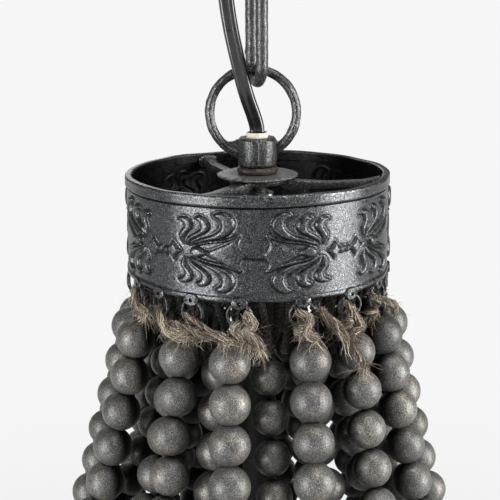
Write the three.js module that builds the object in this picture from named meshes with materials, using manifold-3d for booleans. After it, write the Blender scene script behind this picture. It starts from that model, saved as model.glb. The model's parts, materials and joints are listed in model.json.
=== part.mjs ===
// A beaded chandelier on a short chain, with its ceiling fitting.
// Millimetres, +Z up, front towards -Y. The origin is the middle of the ceiling strap's top
// face, so everything hangs at negative Z.

import * as THREE from 'three';
import { mergeVertices } from 'three/addons/utils/BufferGeometryUtils.js';
import Module from 'manifold-3d';

const wasm = await Module();
wasm.setup();

// Clearances shared by all pieces
const seatGap = 0.3; // between pieces that rest on each other
const hangGap = 0.4; // between a bar and what swings on it
const cutOverrun = 1; // how far a cutter reaches past the faces that it opens
const weldDistance = 0.001; // vertices closer than this are one

// Ceiling strap
const strapLength = 104;
const strapWidth = 22;
const strapThickness = 2.5;
const strapSlotMargin = 8; // from the end of the strap to its slot
const strapSlotLength = 12;
const strapSlotWidth = 4.6;

// Threaded tube that the canopy and the upper loop hang on, and the one in the lamp's hub
const nippleRadius = 4.9;
const nippleBore = 3.9;
const canopyNutRadius = 9.5;
const canopyNutHeight = 4;

// Canopy
const canopyRadius = 62;
const canopyDepth = 24;
const canopyWall = 1.2;
const canopyRimHeight = 4;
const canopyFootRadius = 20; // flat middle that bears on the loop's hub
const canopySwell = 9; // how far the bell bulges out past a straight slope

// Cast loop, the same on the canopy and on the lamp: a hub with a ring on its side
const loopHubRadius = 8.85;
const loopHubHeight = 13;
const loopRingRadius = 19.65; // to the middle of the bar
const loopBarRadius = 2.15;
const loopRise = 11; // from the hub's open end to the ring's middle
const lampRingShift = -1.8; // the lamp's ring sits a little to the left of its hub
const bushingRadius = 5;
const bushingSeat = 2.2; // how deep it stands in the hub
const bushingProud = 2.3; // how far it shows

// Chain links, stadium shaped
const linkWireRadius = 2.75;
const linkBendRadius = 9.75; // to the middle of the wire
const linkStraight = 28; // length of each straight side
const lowestLinkTurn = 14; // degrees about the chain

// Stack between the loop's hub and the spider
const washerRadius = 18.85;
const washerThickness = 1.4;
const lockNutRadius = 9.4;
const lockNutHeight = 3;
const lampNippleReach = 34; // how far the threaded tube goes below the crown's top

// Crown, a stamped band
const crownRadius = 60;
const crownHeight = 45.3;
const crownRise = 2.3; // how far its rim stands above the spider
const crownWall = 1.2;
const crownSides = 36;
const rimHeight = 4.7; // raised band along the top
const rimProud = 0.5;
const grooveHeight = 0.6;
const footHeight = 2.6; // raised band along the bottom
const earWidth = 6.6;
const earDrop = 3; // how far the ears hang below the band
const earHoleWidth = 4.2;
const earHoleHeight = 3.2;
const earLip = 1.3; // metal under the hole

// Spider that carries the crown
const spiderHubRadius = 13;
const spiderDepth = 7;
const spiderArmWidth = 5;
const spiderFootWidth = 9;
const spiderFootHeight = 10;
const spiderFootThickness = 1.6;
const spiderTurn = -4; // degrees, first arm from +X
const armCount = 3;
const spiderNutRadius = 8.5;
const spiderNutHeight = 5;

// Column and the box where the wires meet
const columnRadius = 8;
const columnWall = 1;
const boxRadius = 21;
const boxHeight = 24;
const boxWall = 2.4;
const boxSpigotHeight = 9; // stands inside the column's foot
const coverThickness = 2.4;
const coverKnobRadius = 6;
const coverKnobHeight = 7;

// Hoop
const hoopRadius = 158;
const hoopWall = 1.6;
const hoopHeight = 20;
const hoopSides = 40;
const hoopRimHeight = 3;
const hoopRimProud = 0.8;

// Bead strands between crown and hoop. They hang as a catenary does.
const strandSag = 58; // the catenary's own length
const strandTopSteepness = 5; // drop per unit of spread at the top
const strandTopInset = 3; // how far inside the crown's face they start
const beadRadius = 9;
const beadPitch = 17.4;
const beadSides = 4;
const beadNeckShare = 0.5;
const knotRadius = 3.4;
const twineRadius = 1.6;
const outerKnotLength = 7.8; // from the ring to the first bead
const innerKnotLength = 18;
const innerInset = 17; // inner strands start this far behind the outer ones
const innerRise = 14;
const innerFadeStart = 60;
const innerFadeEnd = 190;
const tieRadius = 2.4;

// Wire rings in the crown's ears
const wireRingRadius = 5.5;
const wireRadius = 0.8;
const wireRingTurn = 30; // degrees from the radial plane

// Basket below the hoop
const basketSag = 140;
const basketLowRadius = 10; // where the hanging curve would be level
const basketTieLength = 7; // least twine at each end, before the first bead and after the last
const basketGroupCount = 5;
const basketLegsPerGroup = 3;
const basketTieRiseShare = 0.62; // how much of a slanted tie's radius stands above its middle
const cupRadius = 46;
const cupHeight = 9;
const cupWall = 1.6;

// Finial under the cup
const finialRadius = 13;
const finialHeight = 34;
const finialCollarRadius = 10;
const finialNeckRadius = 5;

// Lamps on the arms
const armRadius = 4;
const armBore = 2.6;
const lampPlace = 48; // from the column to a lamp
const bossRadius = 6;
const bossHeight = 8;
const cupPlateRadius = 20;
const cupPlateFlatRadius = 13; // flat middle that the socket stands on
const cupPlateThickness = 1.5;
const cupPlateRim = 5;
const socketRadius = 9.6;
const socketHeight = 40;
const socketBore = 7.4;
const socketDepth = 20;
const sleeveWall = 1.3;
const sleeveHeight = 44;
const bulbBaseRadius = 6.6;
const bulbBaseLength = 21;
const bulbGlassRadius = 15.5;
const bulbGlassHeight = 46;

// Flat twin cord, from the canopy down beside the chain and through the hub and the column.
// The points were chosen by hand.
const cordWidth = 6.8;
const cordThickness = 3.6;
const cordCornerShare = 0.5; // of its half thickness, taken off each corner
const cordSteps = 54;
const cordRoute = [
  [0, 0, -2], [0, 0, -20], [0, 0, -34], [0, 0, -40], [-1, -0.8, -46], [-3.4, -2.7, -53],
  [-6.4, -4.7, -60], [-8.6, -6.2, -67], [-10.2, -7.4, -76], [-11.6, -8.3, -88],
  [-12.9, -8.9, -101], [-13.8, -9.3, -115], [-14.2, -9.4, -129], [-14, -9.3, -143],
  [-13.1, -8.9, -157], [-11.4, -8.1, -169], [-9.2, -7, -180], [-7.4, -6, -188],
  [-5.8, -4.9, -195], [-3.8, -3.3, -202], [-1.6, -1.5, -208.5], [-0.2, -0.2, -214],
  [0, 0, -218], [0, 0, -235], [0, 0, -275], [0, 0, -330], [0, 0, -400], [0, 0, -470], [0, 0, -528],
];

// Where each strand pair hangs: the ring's turn about the axis in degrees from the front,
// then for each leg its turn at the first bead, its turn at the hoop, whether it is an inner
// one (as a share of the full inset), and its bead size as a share of the common size.
const strandPlaces = [
  { turn: -62, legs: [[-86, -90, 0, 1], [-67, -70, 0, 1.02]] },
  { turn: -45, legs: [[-53, -49, 1, 0.98], [-35, -29, 0, 0.98]] },
  { turn: -28, legs: [[-22, -17, 1, 1]] },
  { turn: -7.5, legs: [[-12, -4, 0, 1.02], [5.5, 6, 0.8, 0.92]] },
  { turn: 18.4, legs: [[22, 12.5, 0, 1.02], [30.5, 28, 1, 0.96]] },
  { turn: 41.6, legs: [[46, 36, 0, 0.98], [56, 50, 1, 0.98]] },
  { turn: 62, legs: [[71, 59, 0, 1.02], [79, 74, 1, 0.98]] },
  { turn: 90, legs: [[89, 89, 0, 1], [104, 103, 1, 1]] },
  { turn: 120, legs: [[117, 117, 0, 1], [130, 131, 1, 1]] },
  { turn: 150, legs: [[146, 145, 0, 1], [159, 159, 1, 1]] },
  { turn: 180, legs: [[175, 173, 0, 1], [187, 187, 1, 1]] },
  { turn: 209, legs: [[203, 201, 0, 1], [216, 215, 1, 1]] },
  { turn: 238, legs: [[232, 229, 0, 1], [244, 243, 1, 1]] },
  { turn: 265, legs: [[255, 256, 0, 1]] },
];

// Heights, worked down from the ceiling
const canopyFootZ = -canopyDepth;
const upperHubTop = canopyFootZ - seatGap;
const upperHubBottom = upperHubTop - loopHubHeight;
const upperRingZ = upperHubBottom - loopRise;
const linkHalf = linkStraight / 2 + linkBendRadius; // middle of the link to middle of its bend
const linkPitch = 2 * linkHalf - 2 * linkWireRadius - hangGap;
const ringInside = loopRingRadius - loopBarRadius;
const topLinkZ = upperRingZ - ringInside + hangGap + linkWireRadius - linkHalf;
const middleLinkZ = topLinkZ - linkPitch;
const lowestLinkZ = middleLinkZ - linkPitch;
const lampPivotZ = lowestLinkZ - linkHalf;
const ringReach = ringInside - hangGap - linkWireRadius;
const lampRingZ = lampPivotZ - Math.sqrt(ringReach ** 2 - lampRingShift ** 2);
const lampHubTop = lampRingZ - loopRise;
const lampHubBottom = lampHubTop - loopHubHeight;
const lockNutBottom = lampHubBottom - seatGap - lockNutHeight;
const washerBottom = lockNutBottom - seatGap - washerThickness;
const crownTopZ = washerBottom;

// Small helpers
const axisZ = new THREE.Vector3(0, 0, 1);
const radians = THREE.MathUtils.degToRad;

// Same triangles with shared vertices merged, collapsed ones dropped and faces pointing out
function weld(geometry) {
  const bare = geometry.clone();
  bare.deleteAttribute('normal');
  bare.deleteAttribute('uv');
  const merged = mergeVertices(bare, weldDistance);
  const source = merged.index.array;
  const kept = [];
  for (let i = 0; i < source.length; i += 3) {
    const [a, b, c] = [source[i], source[i + 1], source[i + 2]];
    if (a !== b && b !== c && c !== a) kept.push(a, b, c);
  }
  merged.setIndex(kept);
  if (enclosedVolume(merged) < 0) {
    for (let i = 0; i < kept.length; i += 3) [kept[i], kept[i + 1]] = [kept[i + 1], kept[i]];
    merged.setIndex(kept);
  }
  return merged;
}

function enclosedVolume(geometry) {
  const place = geometry.attributes.position;
  const index = geometry.index.array;
  const corners = [0, 1, 2].map(() => new THREE.Vector3());
  let total = 0;
  for (let i = 0; i < index.length; i += 3) {
    corners.forEach((corner, k) => corner.fromBufferAttribute(place, index[i + k]));
    total += corners[0].dot(corners[1].clone().cross(corners[2])) / 6;
  }
  return total;
}

function toSolid(geometry) {
  const welded = weld(geometry);
  return new wasm.Manifold(new wasm.Mesh({
    numProp: 3,
    vertProperties: new Float32Array(welded.attributes.position.array),
    triVerts: new Uint32Array(welded.index.array),
  }));
}

function fromSolid(solid) {
  const mesh = solid.getMesh();
  const geometry = new THREE.BufferGeometry();
  geometry.setAttribute('position', new THREE.BufferAttribute(mesh.vertProperties, 3));
  geometry.setIndex(new THREE.BufferAttribute(mesh.triVerts, 1));
  return geometry;
}

function join(geometries) {
  return fromSolid(geometries.map(toSolid).reduce((whole, next) => whole.add(next)));
}

function cut(geometry, cutters) {
  return fromSolid(cutters.map(toSolid).reduce((rest, next) => rest.subtract(next), toSolid(geometry)));
}

// Body of revolution about Z. The profile is a list of [radius, height].
function turned(profile, sides) {
  const points = profile.map(([radius, height]) => new THREE.Vector2(radius, height));
  const onAxis = profile[0][0] === 0 && profile[profile.length - 1][0] === 0;
  if (!onAxis) points.push(points[0].clone());
  return weld(new THREE.LatheGeometry(points, sides).rotateX(Math.PI / 2));
}

function tube(outer, inner, bottom, top, sides) {
  return turned([[inner, bottom], [outer, bottom], [outer, top], [inner, top]], sides);
}

function rod(radius, bottom, top, sides) {
  return new THREE.CylinderGeometry(radius, radius, top - bottom, sides)
    .rotateX(Math.PI / 2).translate(0, 0, (top + bottom) / 2);
}

// Box from its lowest and highest corners
function block(low, high) {
  const size = high.map((value, k) => value - low[k]);
  const middle = high.map((value, k) => (value + low[k]) / 2);
  return new THREE.BoxGeometry(...size).translate(...middle);
}

// Skin over rings of points, either closed on itself or capped at both ends
function loft(rings, closed) {
  const count = rings[0].length;
  const positions = rings.flat().flatMap((point) => [point.x, point.y, point.z]);
  const faces = [];
  const spans = closed ? rings.length : rings.length - 1;
  for (let i = 0; i < spans; i += 1) {
    const here = i * count;
    const next = ((i + 1) % rings.length) * count;
    for (let k = 0; k < count; k += 1) {
      const side = (k + 1) % count;
      faces.push(here + k, here + side, next + side, here + k, next + side, next + k);
    }
  }
  if (!closed) {
    const last = (rings.length - 1) * count;
    for (let k = 1; k < count - 1; k += 1) {
      faces.push(0, k + 1, k, last, last + k, last + k + 1);
    }
  }
  const geometry = new THREE.BufferGeometry();
  geometry.setAttribute('position', new THREE.Float32BufferAttribute(positions, 3));
  geometry.setIndex(faces);
  return weld(geometry);
}

function sectionRing(centre, across, up, radius, sides) {
  const ring = [];
  for (let k = 0; k < sides; k += 1) {
    const turn = (2 * Math.PI * k) / sides;
    ring.push(centre.clone()
      .addScaledVector(across, radius * Math.cos(turn))
      .addScaledVector(up, radius * Math.sin(turn)));
  }
  return ring;
}

// Materials by look
const finishes = {
  castIron: { color: 0x3a3a3c, roughness: 0.7, metalness: 0.6 },
  rustyIron: { color: 0x4d3a2b, roughness: 0.85, metalness: 0.4 },
  paintedSteel: { color: 0x2f3032, roughness: 0.65, metalness: 0.5 },
  bead: { color: 0x5d5a58, roughness: 0.75, metalness: 0 },
  blackCord: { color: 0x101013, roughness: 0.35, metalness: 0 },
  ivoryPlastic: { color: 0xd9d3be, roughness: 0.6, metalness: 0 },
  candleSleeve: { color: 0xcfc6ae, roughness: 0.7, metalness: 0 },
  zincSteel: { color: 0x8d8f90, roughness: 0.4, metalness: 0.8 },
  socketBlack: { color: 0x1b1b1c, roughness: 0.5, metalness: 0 },
  glass: { color: 0xf2efe6, roughness: 0.1, metalness: 0 },
};

const chandelier = new THREE.Group();

function addPiece(name, finish, geometry, parent = chandelier) {
  const mesh = new THREE.Mesh(geometry, new THREE.MeshStandardMaterial(finishes[finish]));
  mesh.name = name;
  parent.add(mesh);
  return mesh;
}

// Ceiling strap, with a middle hole for the threaded tube and a slot at each end
function addCeilingStrap() {
  const plate = block(
    [-strapLength / 2, -strapWidth / 2, -strapThickness],
    [strapLength / 2, strapWidth / 2, 0],
  );
  const low = -strapThickness - cutOverrun;
  const cutters = [rod(nippleRadius + seatGap, low, cutOverrun, 12)];
  const slotPlace = (strapLength - strapSlotLength) / 2 - strapSlotMargin;
  for (const side of [-1, 1]) {
    cutters.push(block(
      [side * slotPlace - strapSlotLength / 2, -strapSlotWidth / 2, low],
      [side * slotPlace + strapSlotLength / 2, strapSlotWidth / 2, cutOverrun],
    ));
  }
  addPiece('ceiling_strap', 'zincSteel', cut(plate, cutters));
}

function addCanopy() {
  const nutTop = -strapThickness - seatGap;
  const nut = cut(
    rod(canopyNutRadius, nutTop - canopyNutHeight, nutTop, 6),
    [rod(nippleRadius + seatGap, nutTop - canopyNutHeight - cutOverrun, nutTop + cutOverrun, 12)],
  );
  addPiece('canopy_lock_nut', 'zincSteel', nut);

  // Bell: a short upright rim, then a swelling slope to the flat foot
  const slopeShares = [0.35, 0.7];
  const bell = (offset) => {
    const top = -seatGap - canopyRimHeight;
    const start = [canopyRadius - offset, top];
    const end = [canopyFootRadius, canopyFootZ + offset];
    const along = slopeShares.map((share) => [
      start[0] + (end[0] - start[0]) * share + canopySwell * Math.sin(Math.PI * share),
      start[1] + (end[1] - start[1]) * share - (canopySwell / 2) * Math.sin(Math.PI * share),
    ]);
    return [start, ...along, end];
  };
  const hole = nippleRadius + seatGap;
  addPiece('canopy', 'castIron', turned([
    [canopyRadius, -seatGap],
    ...bell(0),
    [hole, canopyFootZ],
    [hole, canopyFootZ + canopyWall],
    ...bell(canopyWall).reverse(),
    [canopyRadius - canopyWall, -seatGap],
  ], 24));

  addPiece('canopy_nipple', 'zincSteel',
    tube(nippleRadius, nippleBore, upperHubBottom + bushingSeat + seatGap, -seatGap, 12));
}

// Cast loop: the hub's open end is at height 0, its ring above, the hub below
function castLoop(ringShift, nippleDepth) {
  const hub = rod(loopHubRadius, -loopHubHeight, 0, 16);
  const ring = new THREE.TorusGeometry(loopRingRadius, loopBarRadius, 6, 22)
    .rotateX(Math.PI / 2).translate(ringShift, 0, loopRise);
  const bore = rod(nippleRadius + seatGap, -loopHubHeight - cutOverrun, loopRise, 12);
  const counterbore = rod(bushingRadius + seatGap, -nippleDepth, loopRise, 12);
  return cut(join([hub, ring]), [bore, counterbore]);
}

function bushing() {
  return tube(bushingRadius, nippleBore, -bushingSeat, bushingProud, 12);
}

function addUpperLoop() {
  const loop = addPiece('canopy_loop', 'castIron', castLoop(0, bushingSeat));
  loop.rotation.x = Math.PI;
  loop.position.z = upperHubBottom;
}

// Stadium-shaped wire link in the XZ plane, about its own middle
function linkGeometry() {
  const bendSteps = 5;
  const rings = [];
  for (const end of [1, -1]) {
    for (let i = 0; i <= bendSteps; i += 1) {
      const turn = (end === 1 ? 0 : Math.PI) + (Math.PI * i) / bendSteps;
      const out = new THREE.Vector3(Math.cos(turn), 0, Math.sin(turn));
      const centre = out.clone().multiplyScalar(linkBendRadius);
      centre.z += (end * linkStraight) / 2;
      rings.push(sectionRing(centre, out, new THREE.Vector3(0, 1, 0), linkWireRadius, 7));
    }
  }
  return loft(rings, true);
}

function addChain() {
  const quarter = 90;
  const links = [
    ['chain_link_top', topLinkZ, quarter],
    ['chain_link_middle', middleLinkZ, 0],
    ['chain_link_lowest', lowestLinkZ, quarter - lowestLinkTurn],
  ];
  for (const [name, height, turn] of links) {
    const link = addPiece(name, 'castIron', linkGeometry());
    link.position.z = height;
    link.rotation.z = -radians(turn);
  }
}

// One tube, cut level with the middles of the links
function addCord() {
  const [half, deep] = [cordWidth / 2, cordThickness / 2];
  const corner = deep * cordCornerShare;
  const section = new THREE.Shape([
    [half, deep - corner], [half - corner, deep], [corner - half, deep], [-half, deep - corner],
    [-half, corner - deep], [corner - half, -deep], [half - corner, -deep], [half, corner - deep],
  ].map(([across, through]) => new THREE.Vector2(through, across)));
  const points = cordRoute.map((point) => new THREE.Vector3(...point));
  const whole = new THREE.ExtrudeGeometry(section, {
    steps: cordSteps,
    extrudePath: new THREE.CatmullRomCurve3(points),
    bevelEnabled: false,
  });
  const heights = [
    points[0].z + cutOverrun, topLinkZ, middleLinkZ, lowestLinkZ,
    points[points.length - 1].z - cutOverrun,
  ];
  const reach = linkHalf;
  const tube = toSolid(whole);
  for (let i = 1; i < heights.length; i += 1) {
    const slab = block(
      [-reach, -reach, heights[i] + seatGap / 2],
      [reach, reach, heights[i - 1] - seatGap / 2],
    );
    addPiece(`cord_${i}`, 'blackCord', fromSolid(tube.intersect(toSolid(slab))));
  }
}

// Everything below hangs from the lowest link and is built about the crown's top
const lamp = new THREE.Group();
lamp.position.z = crownTopZ;
chandelier.add(lamp);

const hubTop = lampHubTop - crownTopZ;
const nippleTop = hubTop - bushingSeat - seatGap;
const spiderTop = -seatGap;
const spiderBottom = spiderTop - spiderDepth;
const spiderNutTop = spiderBottom - seatGap;
const columnTop = spiderNutTop - spiderNutHeight - seatGap;
const armTurns = [...Array(armCount).keys()].map((i) => radians(spiderTurn + (360 * i) / armCount));

// Strand curve, as a catenary from under a crown ear to the hoop's top edge
const catenaryTop = strandSag * strandTopSteepness;
const strandStartRadius = crownRadius - strandTopInset;
const hoopMiddle = hoopRadius - hoopWall / 2;
const spreadFull = strandSag * Math.asinh(strandTopSteepness);
const spreadLeft = strandStartRadius + spreadFull - hoopMiddle;
const catenaryEnd = strandSag * Math.sinh(spreadLeft / strandSag);
const strandLength = catenaryTop - catenaryEnd;
const crownFoot = crownRise - crownHeight;
const earHoleBottom = crownFoot - earDrop + earLip;
const wireRingZ = earHoleBottom + seatGap + wireRadius - wireRingRadius;
const strandStartZ = wireRingZ - wireRingRadius + wireRadius;
const strandDrop = Math.hypot(strandSag, catenaryTop) - Math.hypot(strandSag, catenaryEnd);
const hoopTop = strandStartZ - strandDrop - tieRadius - seatGap;
const hoopBottom = hoopTop - hoopHeight;
const armZ = (hoopTop + hoopBottom) / 2;

function addLampHub() {
  const loop = addPiece('hanging_loop', 'castIron', castLoop(lampRingShift, bushingSeat), lamp);
  loop.position.z = hubTop;
  const collar = addPiece('cord_bushing', 'ivoryPlastic', bushing(), lamp);
  collar.position.z = hubTop;
  const hole = nippleRadius + seatGap;
  const nutBottom = lockNutBottom - crownTopZ;
  addPiece('lock_nut', 'rustyIron',
    tube(lockNutRadius, hole, nutBottom, nutBottom + lockNutHeight, 16), lamp);
  addPiece('hub_washer', 'castIron', tube(washerRadius, hole, 0, washerThickness, 18), lamp);
  addPiece('hub_nipple', 'zincSteel', tube(nippleRadius, nippleBore, -lampNippleReach, nippleTop, 12), lamp);
}

// Where strand rings hang, as a turn about Z from +X
const ringTurns = strandPlaces.map((place) => radians(place.turn - 90));

function addCrown() {
  const proud = crownRadius + rimProud;
  const rimBottom = crownRise - rimHeight;
  const wallTop = rimBottom - grooveHeight;
  const inner = crownRadius - crownWall;
  const footTop = crownFoot + footHeight;
  const band = turned([
    [inner, crownFoot], [proud, crownFoot], [proud, footTop], [crownRadius, footTop + rimProud],
    [crownRadius, wallTop], [proud, rimBottom], [proud, crownRise], [inner, crownRise],
  ], crownSides);
  const ears = [];
  const holes = [];
  for (const turn of ringTurns) {
    ears.push(block(
      [inner, -earWidth / 2, crownFoot - earDrop],
      [crownRadius, earWidth / 2, crownFoot + footHeight / 2],
    ).rotateZ(turn));
    holes.push(block(
      [inner - cutOverrun, -earHoleWidth / 2, earHoleBottom],
      [proud + cutOverrun, earHoleWidth / 2, earHoleBottom + earHoleHeight],
    ).rotateZ(turn));
  }
  addPiece('crown_band', 'castIron', cut(join([band, ...ears]), holes), lamp);
}

function addSpider() {
  const innerFlat = (crownRadius - crownWall) * Math.cos(Math.PI / crownSides);
  const footOut = Math.sqrt((innerFlat - seatGap) ** 2 - (spiderFootWidth / 2) ** 2);
  const footIn = footOut - spiderFootThickness;
  const pieces = [rod(spiderHubRadius, spiderBottom, spiderTop, 16)];
  for (const turn of armTurns) {
    pieces.push(block(
      [0, -spiderArmWidth / 2, spiderBottom],
      [footOut - spiderFootThickness / 2, spiderArmWidth / 2, spiderTop],
    ).rotateZ(turn));
    pieces.push(block(
      [footIn, -spiderFootWidth / 2, spiderTop - spiderFootHeight],
      [footOut, spiderFootWidth / 2, spiderTop],
    ).rotateZ(turn));
  }
  const hole = rod(nippleRadius + seatGap, spiderBottom - cutOverrun, cutOverrun, 12);
  addPiece('spider', 'paintedSteel', cut(join(pieces), [hole]), lamp);
  const nut = rod(spiderNutRadius, spiderNutTop - spiderNutHeight, spiderNutTop, 6);
  const nutHole = rod(nippleRadius + seatGap, columnTop, spiderNutTop + cutOverrun, 12);
  addPiece('spider_nut', 'zincSteel', cut(nut, [nutHole]), lamp);
}

function addColumnAndBox() {
  const boxTop = armZ + boxHeight / 2;
  const boxBottom = armZ - boxHeight / 2;
  const columnInner = columnRadius - columnWall;
  addPiece('column_tube', 'paintedSteel',
    tube(columnRadius, columnInner, boxTop + seatGap, columnTop, 12), lamp);
  const spigot = (columnInner - seatGap) * Math.cos(Math.PI / 12);
  const wireHole = spigot - columnWall;
  const inside = boxRadius - boxWall;
  const body = turned([
    [wireHole, boxTop + boxSpigotHeight], [wireHole, boxTop - boxWall], [inside, boxTop - boxWall],
    [inside, boxBottom], [boxRadius, boxBottom], [boxRadius, boxTop],
    [spigot, boxTop], [spigot, boxTop + boxSpigotHeight],
  ], 12);
  const wireWays = armTurns.map((turn) => new THREE.CylinderGeometry(armBore, armBore, boxRadius, 8)
    .rotateZ(Math.PI / 2).translate(boxRadius, 0, armZ).rotateZ(turn));
  addPiece('wire_box', 'paintedSteel', cut(body, wireWays), lamp);
  const coverTop = boxBottom - seatGap;
  addPiece('wire_box_cover', 'paintedSteel', turned([
    [0, coverTop], [boxRadius, coverTop], [boxRadius, coverTop - coverThickness],
    [coverKnobRadius, coverTop - coverThickness],
    [coverKnobRadius, coverTop - coverThickness - coverKnobHeight / 2],
    [0, coverTop - coverThickness - coverKnobHeight],
  ], 12), lamp);
}

function addHoop() {
  const inner = hoopRadius - hoopWall;
  const proud = hoopRadius + hoopRimProud;
  addPiece('hoop', 'castIron', turned([
    [inner, hoopBottom], [proud, hoopBottom], [proud, hoopBottom + hoopRimHeight],
    [hoopRadius, hoopBottom + hoopRimHeight], [hoopRadius, hoopTop - hoopRimHeight],
    [proud, hoopTop - hoopRimHeight], [proud, hoopTop], [inner, hoopTop],
  ], hoopSides), lamp);
}

// One arm of the hoop with its candle lamp
function addLamp(number, turn) {
  const hoopInside = (hoopRadius - hoopWall) * Math.cos(Math.PI / hoopSides);
  const boxOutside = boxRadius + seatGap;
  const armOut = hoopInside - seatGap;
  const lying = (radius, from, to, sides) => new THREE.CylinderGeometry(radius, radius, to - from, sides)
    .rotateZ(Math.PI / 2).translate((from + to) / 2, 0, armZ).rotateZ(turn);
  const standing = (geometry) => geometry.translate(lampPlace, 0, 0).rotateZ(turn);
  const bossTop = armZ + bossHeight;
  const arm = cut(
    join([lying(armRadius, boxOutside, armOut, 8), standing(rod(bossRadius, armZ, bossTop, 10))]),
    [
      lying(armBore, boxOutside - cutOverrun, armOut + cutOverrun, 8),
      standing(rod(armBore, armZ, bossTop + cutOverrun, 8)),
    ],
  );
  addPiece(`lamp_arm_${number}`, 'paintedSteel', arm, lamp);

  const plateBottom = bossTop + seatGap;
  const plateTop = plateBottom + cupPlateThickness;
  const rimInside = cupPlateRadius - cupPlateThickness;
  addPiece(`drip_cup_${number}`, 'castIron', standing(turned([
    [armBore, plateBottom], [cupPlateFlatRadius, plateBottom],
    [cupPlateRadius, plateBottom + cupPlateRim], [rimInside, plateBottom + cupPlateRim],
    [cupPlateFlatRadius, plateTop], [armBore, plateTop],
  ], 12)), lamp);

  const socketBottom = plateTop + seatGap;
  const socketTop = socketBottom + socketHeight;
  addPiece(`socket_${number}`, 'socketBlack', standing(turned([
    [0, socketBottom], [socketRadius, socketBottom], [socketRadius, socketTop], [socketBore, socketTop],
    [socketBore, socketTop - socketDepth], [0, socketTop - socketDepth],
  ], 10)), lamp);

  const sleeveInside = socketRadius + seatGap;
  addPiece(`candle_sleeve_${number}`, 'candleSleeve', standing(tube(
    sleeveInside + sleeveWall, sleeveInside / Math.cos(Math.PI / 10), socketBottom,
    socketBottom + sleeveHeight, 10,
  )), lamp);

  const baseBottom = socketTop - socketDepth + seatGap;
  const baseTop = baseBottom + bulbBaseLength;
  const glassShares = [[0.62, 0.12], [0.95, 0.3], [0.98, 0.5], [0.6, 0.8]];
  addPiece(`bulb_${number}`, 'glass', standing(turned([
    [0, baseBottom], [bulbBaseRadius, baseBottom], [bulbBaseRadius, baseTop],
    ...glassShares.map(([wide, high]) => [bulbGlassRadius * wide, baseTop + bulbGlassHeight * high]),
    [0, baseTop + bulbGlassHeight],
  ], 9)), lamp);
}

// Point on a leg of the tent, by its length along the curve from the wire ring
function tentPoint(along, ringTurn, leg) {
  const [topTurn, hoopTurn, insetShare] = leg;
  const left = catenaryTop - along;
  const spread = strandSag * Math.asinh(left / strandSag);
  const smooth = THREE.MathUtils.smoothstep;
  const pushed = insetShare * innerInset * smooth(along, 0, innerRise)
    * (1 - smooth(along, innerFadeStart, innerFadeEnd));
  const radius = strandStartRadius + spreadFull - spread - pushed;
  const drop = Math.hypot(strandSag, catenaryTop) - Math.hypot(strandSag, left);
  const settled = smooth(along, 0, innerRise);
  const turn = radians(ringTurn + (topTurn - ringTurn) * settled
    + ((hoopTurn - topTurn) * along) / strandLength);
  return new THREE.Vector3(radius * Math.sin(turn), -radius * Math.cos(turn), strandStartZ - drop);
}

// String of stations [length along, radius] swept along a curve
function strung(stations, pointAt) {
  const nudgeShare = 0.01;
  const nudge = nudgeShare * beadPitch;
  const rings = stations.map(([along, radius]) => {
    const centre = pointAt(along);
    const ahead = pointAt(along + nudge).sub(pointAt(along - nudge)).normalize();
    const around = new THREE.Vector3(-centre.y, centre.x, 0).normalize();
    const across = around.addScaledVector(ahead, -around.dot(ahead)).normalize();
    return sectionRing(centre, across, ahead.clone().cross(across), radius, beadSides);
  });
  return loft(rings, false);
}

function beadStations(from, count, size) {
  const middleShare = 0.5;
  const stations = [];
  for (let i = 0; i < count; i += 1) {
    stations.push([from + i * beadPitch, size * beadNeckShare]);
    stations.push([from + (i + middleShare) * beadPitch, size]);
  }
  stations.push([from + count * beadPitch, size * beadNeckShare]);
  return stations;
}

function addStrands() {
  strandPlaces.forEach(({ turn, legs }, i) => {
    const ring = new THREE.TorusGeometry(wireRingRadius, wireRadius, 4, 8)
      .rotateX(Math.PI / 2).rotateZ(radians(wireRingTurn))
      .translate(crownRadius - crownWall / 2, 0, wireRingZ).rotateZ(ringTurns[i]);
    const strings = legs.map((leg) => {
      const [, , insetShare, sizeShare] = leg;
      const knotLength = insetShare > 0 ? innerKnotLength : outerKnotLength;
      const count = Math.floor((strandLength - knotLength - tieRadius) / beadPitch);
      const stations = [
        [0, twineRadius], [wireRadius + twineRadius, knotRadius], [knotLength - wireRadius, knotRadius],
        ...beadStations(knotLength, count, beadRadius * sizeShare),
        [strandLength, tieRadius],
      ];
      return strung(stations, (along) => tentPoint(along, turn, leg));
    });
    const name = `bead_strand_${String(i + 1).padStart(2, '0')}`;
    addPiece(name, 'bead', join([ring, ...strings]), lamp);
  });
}

// Basket: a hanging curve from the hoop's lower edge to the cup
const basketTop = hoopBottom - seatGap - tieRadius * basketTieRiseShare;
const cupOutside = cupRadius + seatGap;
const basketEndRadius = cupOutside + tieRadius;
const basketHigh = basketSag * Math.cosh((hoopMiddle - basketLowRadius) / basketSag);
const basketArc = (radius) => basketSag * Math.sinh((radius - basketLowRadius) / basketSag);
const basketLength = basketArc(hoopMiddle) - basketArc(basketEndRadius);
const basketBeadCount = Math.floor((basketLength - 2 * basketTieLength) / beadPitch);

function basketPoint(along, turn) {
  const arc = basketArc(hoopMiddle) - along;
  const radius = basketLowRadius + basketSag * Math.asinh(arc / basketSag);
  const drop = basketHigh - Math.hypot(basketSag, arc);
  return new THREE.Vector3(radius * Math.sin(turn), -radius * Math.cos(turn), basketTop - drop);
}

const cupTop = basketPoint(basketLength, 0).z + cupHeight / 2;

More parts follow.
